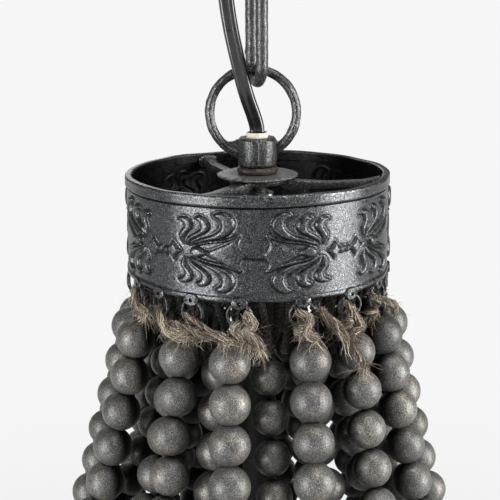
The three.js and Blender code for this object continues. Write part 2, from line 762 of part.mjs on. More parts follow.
function addBasket() {
  const legTurn = (2 * Math.PI) / (basketGroupCount * basketLegsPerGroup);
  const slack = basketLength - basketBeadCount * beadPitch;
  for (let group = 0; group < basketGroupCount; group += 1) {
    const middle = (group + 0.5) * basketLegsPerGroup * legTurn;
    const turns = [...Array(basketLegsPerGroup).keys()]
      .map((i) => middle + (i - (basketLegsPerGroup - 1) / 2) * legTurn);
    const strings = turns.map((turn) => strung([
      [0, tieRadius],
      ...beadStations(slack / 2, basketBeadCount, beadRadius),
      [basketLength, tieRadius],
    ], (along) => basketPoint(along, turn)));
    const tieRings = [];
    const tieSteps = 6;
    for (let i = 0; i <= tieSteps; i += 1) {
      const turn = turns[0] + ((turns[turns.length - 1] - turns[0]) * i) / tieSteps;
      const out = new THREE.Vector3(Math.sin(turn), -Math.cos(turn), 0);
      const centre = basketPoint(basketLength, turn);
      tieRings.push(sectionRing(centre, out, axisZ, tieRadius, 6));
    }
    addPiece(`basket_strand_${group + 1}`, 'bead', join([...strings, loft(tieRings, false)]), lamp);
  }
}

function addCupAndFinial() {
  const bottom = cupTop - cupHeight;
  const stud = finialNeckRadius / 2;
  addPiece('basket_cup', 'castIron', turned([
    [stud + seatGap, bottom], [cupRadius - cupWall, bottom], [cupRadius, bottom + cupWall], [cupRadius, cupTop],
    [cupRadius - cupWall, cupTop], [cupRadius - cupWall, bottom + cupWall],
    [stud + seatGap, bottom + cupWall],
  ], 20), lamp);
  const top = bottom - seatGap;
  const neckShare = 0.2;
  const ballShares = [[0.75, 0.35], [1, 0.55], [0.8, 0.8]];
  addPiece('finial', 'castIron', turned([
    [0, bottom + cupWall], [stud, bottom + cupWall], [stud, top], [finialCollarRadius, top],
    [finialNeckRadius, top - finialHeight * neckShare],
    ...ballShares.map(([wide, deep]) => [finialRadius * wide, top - finialHeight * deep]),
    [0, top - finialHeight],
  ], 12), lamp);
}

addCeilingStrap();
addCanopy();
addUpperLoop();
addChain();
addCord();
addLampHub();
addCrown();
addSpider();
addColumnAndBox();
addHoop();
armTurns.forEach((turn, i) => addLamp(i + 1, turn));
addStrands();
addBasket();
addCupAndFinial();

export default chandelier;
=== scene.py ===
"""Looks of the beaded chandelier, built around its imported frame.

Shapes are worked out in millimetres and become metres when they turn into a mesh.
+Z is up and the front faces -Y. A turn is an angle about the hanging axis, from the front,
growing to the right.
"""

import json
import math

import bpy
import numpy as np
from mathutils import Matrix, Vector, noise


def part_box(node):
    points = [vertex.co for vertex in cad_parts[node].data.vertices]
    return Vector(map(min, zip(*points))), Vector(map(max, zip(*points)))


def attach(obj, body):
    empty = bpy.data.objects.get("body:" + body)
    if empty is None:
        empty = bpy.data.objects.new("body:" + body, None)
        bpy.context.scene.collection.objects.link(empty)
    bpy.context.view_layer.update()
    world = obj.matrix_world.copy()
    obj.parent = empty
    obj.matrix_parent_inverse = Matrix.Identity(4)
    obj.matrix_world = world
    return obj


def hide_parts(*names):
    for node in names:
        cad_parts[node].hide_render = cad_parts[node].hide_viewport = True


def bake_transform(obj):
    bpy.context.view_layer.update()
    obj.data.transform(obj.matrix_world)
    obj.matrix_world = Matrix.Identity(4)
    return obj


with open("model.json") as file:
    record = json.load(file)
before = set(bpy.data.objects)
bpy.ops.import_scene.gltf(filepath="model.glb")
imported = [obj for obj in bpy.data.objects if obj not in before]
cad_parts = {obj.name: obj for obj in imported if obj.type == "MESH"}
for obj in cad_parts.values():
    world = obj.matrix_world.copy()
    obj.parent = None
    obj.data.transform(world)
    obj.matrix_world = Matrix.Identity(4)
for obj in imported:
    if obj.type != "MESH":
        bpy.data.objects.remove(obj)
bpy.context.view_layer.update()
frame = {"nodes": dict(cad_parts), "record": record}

MM = 0.001
UP = np.array([0.0, 0.0, 1.0])
BODY_OF = {node: body for body, nodes in frame["record"]["behaviour"]["bodies"].items() for node in nodes}


def heights(node):
    """Lowest and highest point of a CAD node, in millimetres."""
    low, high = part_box(node)
    return low[2] / MM, high[2] / MM


SEAT = heights("hub_washer")[0]

# Camera, at the photograph's viewing angle
CAMERA_PLACE = (1.1, -548.7, -135.9)
CAMERA_PITCH = 13.88
CAMERA_YAW = -0.5
CAMERA_ROLL = -0.454
FOCAL_SHARE = 2.432  # focal length as a share of the picture's width
SENSOR_WIDTH = 36


def add_camera():
    pitch, yaw, roll = (math.radians(angle) for angle in (CAMERA_PITCH, CAMERA_YAW, CAMERA_ROLL))
    turn = (Matrix.Rotation(-yaw, 4, "Z") @ Matrix.Rotation(math.pi / 2 - pitch, 4, "X")
            @ Matrix.Rotation(roll, 4, "Z"))
    data = bpy.data.cameras.new("camera")
    data.sensor_fit = "HORIZONTAL"
    data.sensor_width = SENSOR_WIDTH
    data.lens = SENSOR_WIDTH * FOCAL_SHARE
    data.clip_start = 0.01
    camera = bpy.data.objects.new("camera", data)
    camera.matrix_world = Matrix.Translation(Vector(CAMERA_PLACE) * MM) @ turn
    bpy.context.scene.collection.objects.link(camera)
    bpy.context.scene.camera = camera


# Shapes: points in millimetres with faces, gathered before they become one mesh


class Shape:
    def __init__(self):
        self.points, self.quads, self.tris = [], [], []
        self.quad_slots, self.tri_slots = [], []
        self.tones, self.shades_and_wear = [], []
        self.total = 0

    def add(self, points, quads, tris, slot=0, tone=0.5, worn=0.0, flip=True):
        """Adds a closed form. Its faces are turned to point out unless flip is false."""
        points = np.asarray(points, float)
        if flip and enclosed(points, quads, tris) < 0:
            quads, tris = quads[:, ::-1], tris[:, ::-1]
        self.points.append(points)
        self.quads.append(quads + self.total)
        self.tris.append(tris + self.total)
        self.quad_slots.append(np.full(len(quads), slot))
        self.tri_slots.append(np.full(len(tris), slot))
        self.tones.append(np.broadcast_to(np.asarray(tone, float), len(points)))
        self.shades_and_wear.append(np.broadcast_to(np.asarray(worn, float), len(points)))
        self.total += len(points)
        return self


def enclosed(points, quads, tris):
    corner = points[np.vstack([tris, quads[:, :3], quads[:, [0, 2, 3]]])]
    return np.einsum("ij,ij->i", corner[:, 0], np.cross(corner[:, 1], corner[:, 2])).sum()


def unit(vectors):
    return vectors / np.linalg.norm(vectors, axis=-1, keepdims=True)


def smoothstep(value, low, high):
    share = np.clip((np.asarray(value, float) - low) / (high - low), 0, 1)
    return share * share * (3 - 2 * share)


def skin(rings, closed=False):
    """Quads over rings of points. Unless the rings close up, each end is fanned to its middle."""
    rings = np.asarray(rings, float)
    count, sides = rings.shape[:2]
    row, column = np.meshgrid(np.arange(count if closed else count - 1), np.arange(sides), indexing="ij")
    ahead, beside = (row + 1) % count, (column + 1) % sides
    quads = np.stack([row * sides + column, row * sides + beside,
                      ahead * sides + beside, ahead * sides + column], -1).reshape(-1, 4)
    points = rings.reshape(-1, 3)
    if closed:
        return points, quads, np.zeros((0, 3), int)
    middle, last, here = len(points), (count - 1) * sides, np.arange(sides)
    there = (here + 1) % sides
    tris = np.vstack([np.stack([np.full(sides, middle), there, here], -1),
                      np.stack([np.full(sides, middle + 1), last + here, last + there], -1)])
    return np.vstack([points, rings[0].mean(0), rings[-1].mean(0)]), quads, tris


def lathe(profile, sides):
    """Body of revolution from [radius, height] points. It closes on itself unless it ends on the axis."""
    profile = np.asarray(profile, float)
    on_axis = profile[0, 0] == 0 and profile[-1, 0] == 0
    rims = profile[1:-1] if on_axis else profile
    turn = np.linspace(0, 2 * math.pi, sides, endpoint=False)
    rings = np.stack([rims[:, :1] * np.cos(turn), rims[:, :1] * np.sin(turn),
                      np.repeat(rims[:, 1:], sides, 1)], -1)
    points, quads, tris = skin(rings, closed=not on_axis)
    if on_axis:
        points[-2:, 2] = profile[[0, -1], 1]
    return points, quads, tris


def rounded(profile, radius, closed=True, steps=3):
    """The same outline with its corners taken off in an arc."""
    profile = np.asarray(profile, float)
    out = []
    for i, corner in enumerate(profile):
        if not closed and i in (0, len(profile) - 1):
            out.append(corner)
            continue
        back, on = profile[i - 1] - corner, profile[(i + 1) % len(profile)] - corner
        reach = min(radius, 0.45 * np.linalg.norm(back), 0.45 * np.linalg.norm(on))
        start, end = corner + unit(back) * reach, corner + unit(on) * reach
        for t in np.linspace(0, 1, steps + 1):
            out.append((1 - t) ** 2 * start + 2 * t * (1 - t) * corner + t * t * end)
    return np.array(out)


def dense(outline, count=2, step=math.inf):
    """The same closed outline with more points on each side: the count, or one for each step."""
    return np.vstack([np.linspace(a, b, max(count, int(np.linalg.norm(b - a) / step) + 1))[:-1]
                      for a, b in zip(outline, np.roll(outline, -1, 0))])


def raised(profile, level):
    """Profile points with their heights counted from a level."""
    return np.array(profile, float) + (0, level)


def smooth_line(points, count, closed=False):
    """Catmull-Rom line through the points."""
    points = np.asarray(points, float)
    number = len(points)
    spans = number if closed else number - 1
    at = np.linspace(0, spans, count, endpoint=not closed)
    i = np.minimum(at.astype(int), spans - 1)
    t = (at - i)[:, None]
    if closed:
        a, b, c, d = (points[(i + k) % number] for k in (-1, 0, 1, 2))
    else:
        a, b, c, d = (points[np.clip(i + k, 0, number - 1)] for k in (-1, 0, 1, 2))
    return 0.5 * (2 * b + (c - a) * t + (2 * a - 5 * b + 4 * c - d) * t**2 + (3 * b - a - 3 * c + d) * t**3)


def even(path, step):
    """The same line with its points a step apart."""
    along = np.concatenate([[0], np.linalg.norm(np.diff(path, axis=0), axis=1).cumsum()])
    at = np.linspace(0, along[-1], max(2, round(along[-1] / step) + 1))
    return np.stack([np.interp(at, along, path[:, k]) for k in range(3)], -1)


def frames_along(path, closed=False, across=None):
    """Tangent and two side directions at each point, turning as little as they can."""
    ahead = np.roll(path, -1, 0) - np.roll(path, 1, 0) if closed else np.gradient(path, axis=0)
    ahead = unit(ahead)
    side = np.array(across if across is not None else np.cross(ahead[0], UP + 0.01), float)
    sides = []
    for tangent in ahead:
        side = side - side.dot(tangent) * tangent
        side = side / np.linalg.norm(side)
        sides.append(side)
    sides = np.array(sides)
    return ahead, sides, np.cross(ahead, sides)


def sweep(path, section, closed=False, across=None, grow=1.0):
    """A section of [across, through] points swept along a line and scaled by grow at each point."""
    path = np.asarray(path, float)
    _, side, through = frames_along(path, closed, across)
    flat = np.broadcast_to(grow, len(path))[:, None, None] * section
    rings = path[:, None] + flat[..., :1] * side[:, None] + flat[..., 1:] * through[:, None]
    return skin(rings, closed)


def ring_section(radius, sides=14):
    turn = np.linspace(0, 2 * math.pi, sides, endpoint=False)
    return radius * np.stack([np.cos(turn), np.sin(turn)], -1)


def spin(points, turn):
    """Points turned about the hanging axis."""
    c, s = math.cos(turn), math.sin(turn)
    return np.asarray(points) @ np.array([[c, s, 0], [-s, c, 0], [0, 0, 1]])


def hanging(turn, reach, height):
    """Points by their turns, their distances from the hanging axis and their heights."""
    return np.stack([reach * np.sin(turn), -reach * np.cos(turn), height], -1)


def widen(points, amount):
    """Moves points out from the hanging axis."""
    points[:, :2] *= (1 + amount / np.hypot(points[:, 0], points[:, 1]))[:, None]
    return points


def plate(outline, half, edge):
    """A flat plate square to Y, with its edges eased."""
    eased = outline + unit(outline.mean(0) - outline) * edge
    levels = [(eased, -half), (outline, edge - half), (outline, half - edge), (eased, half)]
    return skin([np.insert(line, 1, level, axis=1) for line, level in levels])


def mesh_object(name, shape, finishes, smooth=38):
    points = np.vstack(shape.points) * MM
    quads, tris = np.vstack(shape.quads), np.vstack(shape.tris)
    mesh = bpy.data.meshes.new(name)
    mesh.vertices.add(len(points))
    mesh.vertices.foreach_set("co", points.ravel())
    mesh.loops.add(quads.size + tris.size)
    mesh.loops.foreach_set("vertex_index", np.concatenate([quads.ravel(), tris.ravel()]).astype(np.int32))
    sizes = np.concatenate([np.full(len(quads), 4), np.full(len(tris), 3)])
    mesh.polygons.add(len(sizes))
    mesh.polygons.foreach_set("loop_start", np.concatenate([[0], sizes.cumsum()[:-1]]).astype(np.int32))
    slots = np.concatenate(shape.quad_slots + shape.tri_slots).astype(np.int32)
    mesh.polygons.foreach_set("material_index", slots)
    mesh.update(calc_edges=True)
    for label, values in (("tone", shape.tones), ("worn", shape.shades_and_wear)):
        mesh.attributes.new(label, "FLOAT", "POINT").data.foreach_set("value", np.concatenate(values))
    for finish in finishes:
        mesh.materials.append(finish)
    mesh.validate()
    mesh.shade_smooth()
    mesh.set_sharp_from_angle(angle=math.radians(smooth))
    obj = bpy.data.objects.new(name, mesh)
    bpy.context.scene.collection.objects.link(obj)
    return obj


def roughen(shape, amount, grain, seed=0.0):
    """Moves the points of a shape by noise, as sand casting and hammering leave them."""
    for i, points in enumerate(shape.points):
        offset = Vector((seed, seed * 2, seed * 3))
        shift = [noise.noise_vector(Vector(point) / grain + offset) for point in points]
        shape.points[i] = points + amount * np.array(shift)
    return shape


def add_piece(name, shape, finishes, node, smooth=38):
    """Makes the piece, hides the node that it stands for and lets it ride on that node's body."""
    obj = mesh_object(name, shape, finishes if isinstance(finishes, list) else [finishes], smooth)
    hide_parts(node)
    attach(obj, BODY_OF[node])


def add_turned(name, node, finish, profile, sides, rough=None, smooth=38):
    """Adds a piece that is turned from a profile, then roughened if its noise is given."""
    shape = Shape().add(*lathe(profile, sides))
    add_piece(name, roughen(shape, *rough) if rough else shape, finish, node, smooth)


# Finishes


class Graph:
    """A node tree with short calls that fill it."""

    def __init__(self, tree):
        self.tree = tree

    def feed(self, socket, value):
        """Wires a socket to another one, or sets its value."""
        if isinstance(value, bpy.types.NodeSocket):
            self.tree.links.new(value, socket)
        else:
            socket.default_value = (*value, 1) if socket.type == "RGBA" else value

    def node(self, kind, inputs=(), **settings):
        node = self.tree.nodes.new("ShaderNode" + kind)
        for name, value in settings.items():
            setattr(node, name, value)
        for socket, value in dict(inputs).items():
            self.feed(node.inputs[socket], value)
        return node

    def larger(self, first, second):
        return self.node("Math", {0: first, 1: second}, operation="MAXIMUM").outputs[0]

    def blend(self, share, first, second):
        """One shader over another."""
        return self.node("MixShader", {0: share, 1: first, 2: second}).outputs[0]


class Finish(Graph):
    """One node material. Grain sizes and bump depths are in millimetres."""

    def __init__(self, name, roughness, metallic=0.0, **sockets):
        self.material = bpy.data.materials.new(name)
        self.material.use_nodes = True
        super().__init__(self.material.node_tree)
        self.shader = self.tree.nodes["Principled BSDF"]
        for socket, value in {"Roughness": roughness, "Metallic": metallic, **sockets}.items():
            self.shader.inputs[socket].default_value = value
        self.place = self.node("TexCoord").outputs["Object"]

    def grain(self, size, detail=3.0, stretch=None):
        place = self.place
        if stretch:
            place = self.node("Mapping", {"Vector": place, "Scale": stretch}).outputs["Vector"]
        inputs = {"Vector": place, "Scale": 1 / (size * MM), "Detail": detail, "Roughness": 0.6}
        return self.node("TexNoise", inputs).outputs["Fac"]

    def attribute(self, name):
        return self.node("Attribute", attribute_name=name).outputs["Fac"]

    def ramp(self, source, *stops):
        """Colours or greys at shares of the source."""
        node = self.node("ValToRGB", {"Fac": source})
        elements = node.color_ramp.elements
        while len(elements) < len(stops):
            elements.new(0.5)
        for element, (share, colour) in zip(elements, stops):
            element.position = share
            element.color = (*(colour if isinstance(colour, tuple) else (colour,) * 3), 1)
        return node.outputs["Color"]

    def mix(self, share, first, second, blend="MIX"):
        inputs = {0: share, 6: first, 7: second}
        return self.node("Mix", inputs, data_type="RGBA", blend_type=blend).outputs[2]

    def times(self, first, second):
        return self.mix(1.0, first, second, "MULTIPLY")

    def done(self, colour, rough=None, *bumps):
        """The material with its colour, roughness, and bumps of (source, depth) one over the other."""
        self.feed(self.shader.inputs["Base Color"], colour)
        if rough:
            self.feed(self.shader.inputs["Roughness"], rough)
        under = {}
        for source, depth in bumps:
            node = self.node("Bump", {"Strength": 1.0, "Distance": depth * MM, "Height": source, **under})
            under = {"Normal": node.outputs["Normal"]}
        for socket, normal in under.items():
            self.feed(self.shader.inputs[socket], normal)
        return self.material


def iron_finish(name, dark, pale, warm, metallic, roughness, rusty):
    """Blackened iron with a fine pale speckle, mottled and a little rusty in places.

    A tone over a half gives pale flecks, rubbed wear together with painted highlight along top edges. The
    darkening attribute takes it to black, painted shade in creases, round the relief and inside the band.
    """
    finish = Finish(name, roughness, metallic, **{"Specular IOR Level": 0.5})
    fine, coarse, broad = finish.grain(0.45, 2), finish.grain(1.6, 3), finish.grain(7, 3)
    between = tuple(0.6 * a + 0.4 * b for a, b in zip(dark, pale))
    base = finish.ramp(fine, (0.42, dark), (0.6, between), (0.74, pale))
    base = finish.times(base, finish.ramp(coarse, (0.3, 0.6), (0.7, 1.2)))
    rust = finish.ramp(broad, (1 - rusty, 0.0), (1.22 - rusty, 1.0))
    base = finish.mix(rust, base, finish.mix(0.5, base, warm))
    # Painted highlight together with rubbed wear: pale flecks where the tone is over a half.
    rub_and_highlight = finish.ramp(finish.attribute("tone"), (0.5, 0.0), (1.0, 1.0))
    flecks = finish.ramp(finish.grain(0.7, 3), (0.56, 0.0), (0.66, 0.8))
    base = finish.mix(finish.times(rub_and_highlight, flecks), base, (0.62, 0.6, 0.57))
    # Painted shade: black where the darkening attribute is high.
    return finish.done(finish.mix(finish.attribute("worn"), base, (0.004, 0.004, 0.004)),
                       finish.ramp(coarse, (0.3, roughness - 0.08), (0.7, roughness + 0.12)),
                       (coarse, 0.06), (fine, 0.04))


def bead_finish():
    """Grey wooden beads: a fine chalky grain with warm worn patches. Near the holes they go near black, wear
    together with painted shade where beads meet, and their side towards the axis is painted shade.
    """
    finish = Finish("grey_bead", 0.5, 0.55, **{"Specular IOR Level": 0.35})
    fine, pore, broad = finish.grain(0.3, 2), finish.grain(0.9, 4), finish.grain(5, 2)
    base = finish.ramp(fine, (0.38, (0.034, 0.035, 0.034)), (0.52, (0.098, 0.099, 0.095)),
                       (0.66, (0.3, 0.297, 0.28)))
    base = finish.times(base, finish.ramp(pore, (0.3, 0.6), (0.7, 1.3)))
    flecks = finish.times(finish.ramp(finish.grain(0.55, 3), (0.5, 0.0), (0.62, 0.75)),
                          finish.ramp(broad, (0.47, 0.0), (0.66, 1.0)))
    base = finish.mix(flecks, base, (0.37, 0.31, 0.225))
    base = finish.times(base, finish.ramp(finish.attribute("tone"), (0.0, (0.66, 0.66, 0.67)), (0.5, 1.04),
                                          (1.0, (1.34, 1.32, 1.27))))
    # Painted shade, and wear at the holes: the darkening attribute takes the bead to near black.
    return finish.done(finish.mix(finish.attribute("worn"), base, (0.004, 0.0035, 0.003)),
                       finish.ramp(pore, (0.3, 0.4), (0.7, 0.56)), (pore, 0.07), (fine, 0.03))


def jute_finish():
    finish = Finish("jute", 0.85, **{"Sheen Weight": 0.2, "Specular IOR Level": 0.2})
    # Tones near nothing are near black: painted shade, used for the twine ends inside the crown.
    base = finish.ramp(finish.attribute("tone"), (0.0, (0.002, 0.0015, 0.001)), (0.5, (0.12, 0.088, 0.058)),
                       (1.0, (0.8, 0.7, 0.56)))
    base = finish.times(base, finish.ramp(finish.grain(0.7, 3), (0.3, 0.55), (0.7, 1.35)))
    return finish.done(base, None, (finish.grain(0.35, 2), 0.1))


def plain_finish(name, low, high, roughness, metallic, size, depth, stretch=None, **sockets):
    """A finish whose colour drifts between two tones, with a matching bump."""
    finish = Finish(name, roughness, metallic, **sockets)
    grain = finish.grain(size, 3, stretch)
    rough = finish.ramp(finish.grain(size * 3, 2), (0.3, roughness * 0.85), (0.7, roughness * 1.15))
    return finish.done(finish.ramp(grain, (0.3, low), (0.7, high)), rough,
                       (grain, depth), (finish.grain(size * 0.3, 2), depth * 0.6))


def glass_finish():
    finish = Finish("bulb_glass", 0.03, **{"Transmission Weight": 1.0, "IOR": 1.45})
    return finish.done(finish.ramp(finish.grain(9, 2), (0.35, (0.93, 0.9, 0.84)), (0.65, (0.97, 0.95, 0.91))),
                       finish.ramp(finish.grain(4, 3), (0.4, 0.02), (0.7, 0.06)))


IRON = iron_finish("cast_iron", (0.016, 0.016, 0.017), (0.32, 0.32, 0.32), (0.1, 0.07, 0.05), 0.7, 0.4, 0.3)
CROWN_IRON = iron_finish("embossed_iron", (0.018, 0.0185, 0.02), (0.245, 0.25, 0.255), (0.1, 0.075, 0.055),
                         0.85, 0.34, 0.36)
RUST = iron_finish("rusty_iron", (0.012, 0.009, 0.007), (0.2, 0.16, 0.12), (0.09, 0.05, 0.028), 0.4, 0.5, 0.5)
WASHER = iron_finish("washer_iron", (0.05, 0.05, 0.05), (0.45, 0.44, 0.42), (0.13, 0.09, 0.06), 0.45, 0.42, 0.2)
STEEL = plain_finish("dark_steel", (0.006, 0.006, 0.0065), (0.02, 0.02, 0.021), 0.55, 0.1, 0.9, 0.06,
                     (0.35, 0.35, 1.6), **{"Specular IOR Level": 0.1})
ZINC = plain_finish("zinc_steel", (0.2, 0.2, 0.2), (0.46, 0.46, 0.45), 0.36, 0.85, 1.1, 0.04)
BEAD = bead_finish()
JUTE = jute_finish()
CORD = plain_finish("black_cord", (0.006, 0.006, 0.0065), (0.014, 0.014, 0.015), 0.24, 0.0, 1.6, 0.02,
                    None, **{"Coat Weight": 0.35, "Coat Roughness": 0.12})
IVORY = plain_finish("ivory_plastic", (0.52, 0.47, 0.37), (0.78, 0.74, 0.64), 0.55, 0.0, 1.5, 0.08,
                     None, **{"Subsurface Weight": 0.1, "Subsurface Scale": 0.001})
SLEEVE = plain_finish("candle_sleeve", (0.5, 0.45, 0.35), (0.68, 0.63, 0.52), 0.6, 0.0, 5.0, 0.12)
SOCKET = plain_finish("socket_black", (0.01, 0.01, 0.011), (0.028, 0.028, 0.03), 0.45, 0.0, 1.2, 0.05)
BRASS = plain_finish("bulb_base", (0.35, 0.28, 0.16), (0.55, 0.46, 0.28), 0.32, 0.9, 1.4, 0.03)
GLASS = glass_finish()
FILAMENT = plain_finish("filament", (0.25, 0.2, 0.15), (0.4, 0.33, 0.25), 0.5, 0.6, 0.6, 0.02)


# Cord: a flat twin lead on one line of given points, beside the chain
CORD_WIDTH = 6.8
CORD_THICKNESS = 3.6
CORD_ROUTE = [
    (0, 0, -2), (0, 0, -20), (0, 0, -34), (0, 0, -40), (-1, -0.8, -46), (-3.4, -2.7, -53),
    (-6.4, -4.7, -60), (-8.6, -6.2, -67), (-10.2, -7.4, -76), (-11.6, -8.3, -88),
    (-12.9, -8.9, -101), (-13.8, -9.3, -115), (-14.2, -9.4, -129), (-14, -9.3, -143),
    (-13.1, -8.9, -157), (-11.4, -8.1, -169), (-9.2, -7, -180), (-7.4, -6, -188),
    (-5.8, -4.9, -195), (-3.8, -3.3, -202), (-1.6, -1.5, -208.5), (-0.2, -0.2, -214),
    (0, 0, -218), (0, 0, -235), (0, 0, -275), (0, 0, -330), (0, 0, -400), (0, 0, -470), (0, 0, -528),
]
# Each length of cord with the bodies that it joins, and the heights between which it bends
CORD_SPANS = [
    ("cord_1", "ceiling", "link_top", -52, -82),
    ("cord_2", "link_top", "link_middle", -95, -125),
    ("cord_3", "link_middle", "link_lowest", -137, -166),
    ("cord_4", "link_lowest", "lamp", -178, -212),
]
CORD_TUCK = 0.8  # how far each length runs on inside the one above it


def cord_line():
    """The route as a centripetal Catmull-Rom line, in steps of about a millimetre."""
    route = np.array(CORD_ROUTE, float)
    ends = np.vstack([2 * route[0] - route[1], route, 2 * route[-1] - route[-2]])
    line = []
    for a, b, c, d in zip(ends[:-3], ends[1:-2], ends[2:-1], ends[3:]):
        t0, t1, t2, t3 = np.cumsum([0, *(np.linalg.norm(q - p) ** 0.5 for p, q in ((a, b), (b, c), (c, d)))])
        for t in np.linspace(t1, t2, max(3, int(np.linalg.norm(c - b))), endpoint=False):
            ab = ((t1 - t) * a + (t - t0) * b) / (t1 - t0)
            bc = ((t2 - t) * b + (t - t1) * c) / (t2 - t1)
            cd = ((t3 - t) * c + (t - t2) * d) / (t3 - t2)
            abc = ((t2 - t) * ab + (t - t0) * bc) / (t2 - t0)
            bcd = ((t3 - t) * bc + (t - t1) * cd) / (t3 - t1)
            line.append(((t2 - t) * abc + (t - t1) * bcd) / (t2 - t1))
    return np.array(line + [route[-1]])


def cord_section():
    """Two round cores side by side, run together by a web."""
    core = CORD_THICKNESS / 2
    middle = CORD_WIDTH / 2 - core
    right = [(middle + core * math.cos(a), core * math.sin(a)) for a in np.radians(np.linspace(-125, 125, 15))]
    left = [(-across, -through) for across, through in right]
    return np.array([*right, (0, 0.41 * CORD_THICKNESS), *left, (0, -0.41 * CORD_THICKNESS)])


def add_cords():
    line = cord_line()

    def at_height(z):
        return np.array([np.interp(z, line[::-1, 2], line[::-1, k]) for k in range(3)])

    for node, upper, lower, start, end in CORD_SPANS:
        low, high = heights(node)
        run = line[(line[:, 2] > low + 0.3) & (line[:, 2] < high - 0.3)]
        run = np.vstack([at_height(high), run, at_height(low)])
        path, grow = run, np.ones(len(run))
        if line[0, 2] > high + CORD_TUCK:
            path, grow = np.vstack([at_height(high + CORD_TUCK), run]), np.append(0.9, grow)
        shape = Shape().add(*sweep(path, cord_section(), across=(1, 0, 0), grow=grow))
        lead = mesh_object(node + "_lead", shape, [CORD])
        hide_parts(node)
        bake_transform(lead)


# Ceiling fitting, chain and hub
HUB_RADIUS = 8.85
HUB_HEIGHT = 13
HUB_BORE = 5.25
LOOP_RADIUS = 19.65
LOOP_ROOT = 6.9  # how close to the axis the ring runs into its hub
# Outline of the web between the ring and its hub, sideways and down from the mouth
LOOP_WEB = np.array([(7.4, 1.4), (10.2, 1.9), (13.4, 2.3), (12.4, 4.0), (7.4, 8.6)])
LOOP_SECTION = np.array([
    (2.15, 0), (2.0, 0.95), (1.2, 1.75), (0.35, 2.1), (0, 1.75), (-0.35, 2.1), (-1.2, 1.75), (-2.0, 0.95),
    (-2.15, 0), (-2.0, -0.95), (-1.2, -1.75), (-0.35, -2.1), (0, -1.75), (0.35, -2.1), (1.2, -1.75),
    (2.0, -0.95),
])
LINK_WIRE = 2.75
LINK_BEND = 9.75
LINK_STRAIGHT = 28
THREAD_RADIUS = 4.9
THREAD_PITCH = 1.1


def loop_shape(up, mouth, shift, seed):
    """Cast hub with its ring. Up is 1 or -1, the side of the hub's mouth on which the ring stands."""
    outline = [(HUB_BORE, 0), (7.9, 0), (HUB_RADIUS, 1.2), (HUB_RADIUS, HUB_HEIGHT - 0.8), (8.2, HUB_HEIGHT),
               (HUB_BORE, HUB_HEIGHT)]
    profile = rounded(np.array(outline) * (1, -up) + (0, mouth), 0.35)
    points, quads, tris = lathe(dense(profile, 6), 120)
    turn = np.degrees(np.arctan2(points[:, 0], -points[:, 1]))
    seam = 0.55 * np.exp(-(((turn - 5) / 2.2) ** 2)) + 0.3 * np.exp(-(((np.abs(turn) - 172) / 3) ** 2))
    outside = np.hypot(points[:, 0], points[:, 1]) > 7
    shape = Shape().add(widen(points, np.where(outside, -seam, 0)), quads, tris)
    ends = [-math.acos((LOOP_ROOT - shift) / LOOP_RADIUS),
            2 * math.pi - math.acos((-LOOP_ROOT - shift) / LOOP_RADIUS)]
    turn = np.linspace(*ends, 130)
    path = np.stack([shift + LOOP_RADIUS * np.cos(turn), np.zeros(130),
                     mouth + up * (11 + LOOP_RADIUS * np.sin(turn))], -1)
    grow = 1 + 0.03 * np.sin(turn * 5 + seed) + 0.02 * np.sin(turn * 13)
    shape.add(*sweep(path, LOOP_SECTION, across=(1, 0, 0), grow=grow))
    for side in (-1, 1):
        web = smooth_line(LOOP_WEB * (side, -up) + (shift / 2, mouth), 36, closed=True)
        shape.add(*plate(web, 1.5, 0.5))
    return roughen(shape, 0.17, 2.0, seed)


def link_shape(middle, turn, seed, seam):
    """Stadium-shaped link with a weld seam on one side."""
    half = LINK_STRAIGHT / 2
    bend = np.linspace(0, math.pi, 30)
    top = np.stack([LINK_BEND * np.cos(bend), half + LINK_BEND * np.sin(bend)], -1)
    side = np.stack([np.full(26, -LINK_BEND), np.linspace(half, -half, 28)[1:-1]], -1)
    flat = np.vstack([top, side, -top, -side])
    path = np.stack([flat[:, 0], np.zeros(len(flat)), flat[:, 1]], -1)
    swell = 0.16 * np.exp(-((((flat[:, 1] - seam) / 1.3) ** 2))) * (flat[:, 0] < -LINK_BEND + 0.1)
    points, quads, tris = sweep(path, ring_section(LINK_WIRE, 18), True, (1, 0, 0), 1 + swell)
    shape = Shape().add(spin(points, turn) + (0, 0, middle), quads, tris)
    return roughen(shape, 0.17, 2.3, seed)


def thread_shape(bore, low, high, sides=40):
    """Threaded tube."""
    levels = np.linspace(high, low, int((high - low) / (THREAD_PITCH / 5)))
    turn = np.linspace(0, 2 * math.pi, sides, endpoint=False)
    phase = (levels[:, None] / THREAD_PITCH + turn[None] / (2 * math.pi)) % 1
    crest = THREAD_RADIUS - 0.42 * np.abs(2 * phase - 1)
    outside = np.stack([crest * np.cos(turn), crest * np.sin(turn), np.repeat(levels[:, None], sides, 1)], -1)
    circle = bore * np.stack([np.cos(turn), np.sin(turn)], -1)
    inside = [np.insert(circle, 2, level, axis=1) for level in (low, high)]
    return Shape().add(*skin([*outside, *inside], closed=True))


def nut_shape(radius, bore, low, high):
    """Hexagon nut with its corners chamfered at both faces."""
    turn = np.linspace(0, 2 * math.pi, 72, endpoint=False)
    flat = radius * math.cos(math.pi / 6) / np.cos((turn + math.pi / 6) % (math.pi / 3) - math.pi / 6)
    face = np.minimum(flat, radius * math.cos(math.pi / 6) * 1.01)
    rings = [(face, low), (flat, low + 0.9), (flat, high - 0.9), (face, high),
             (np.full(72, bore), high), (np.full(72, bore), low)]
    rings = [np.stack([r * np.cos(turn), r * np.sin(turn), np.full(72, z)], -1) for r, z in rings]
    return Shape().add(*skin(rings, closed=True))


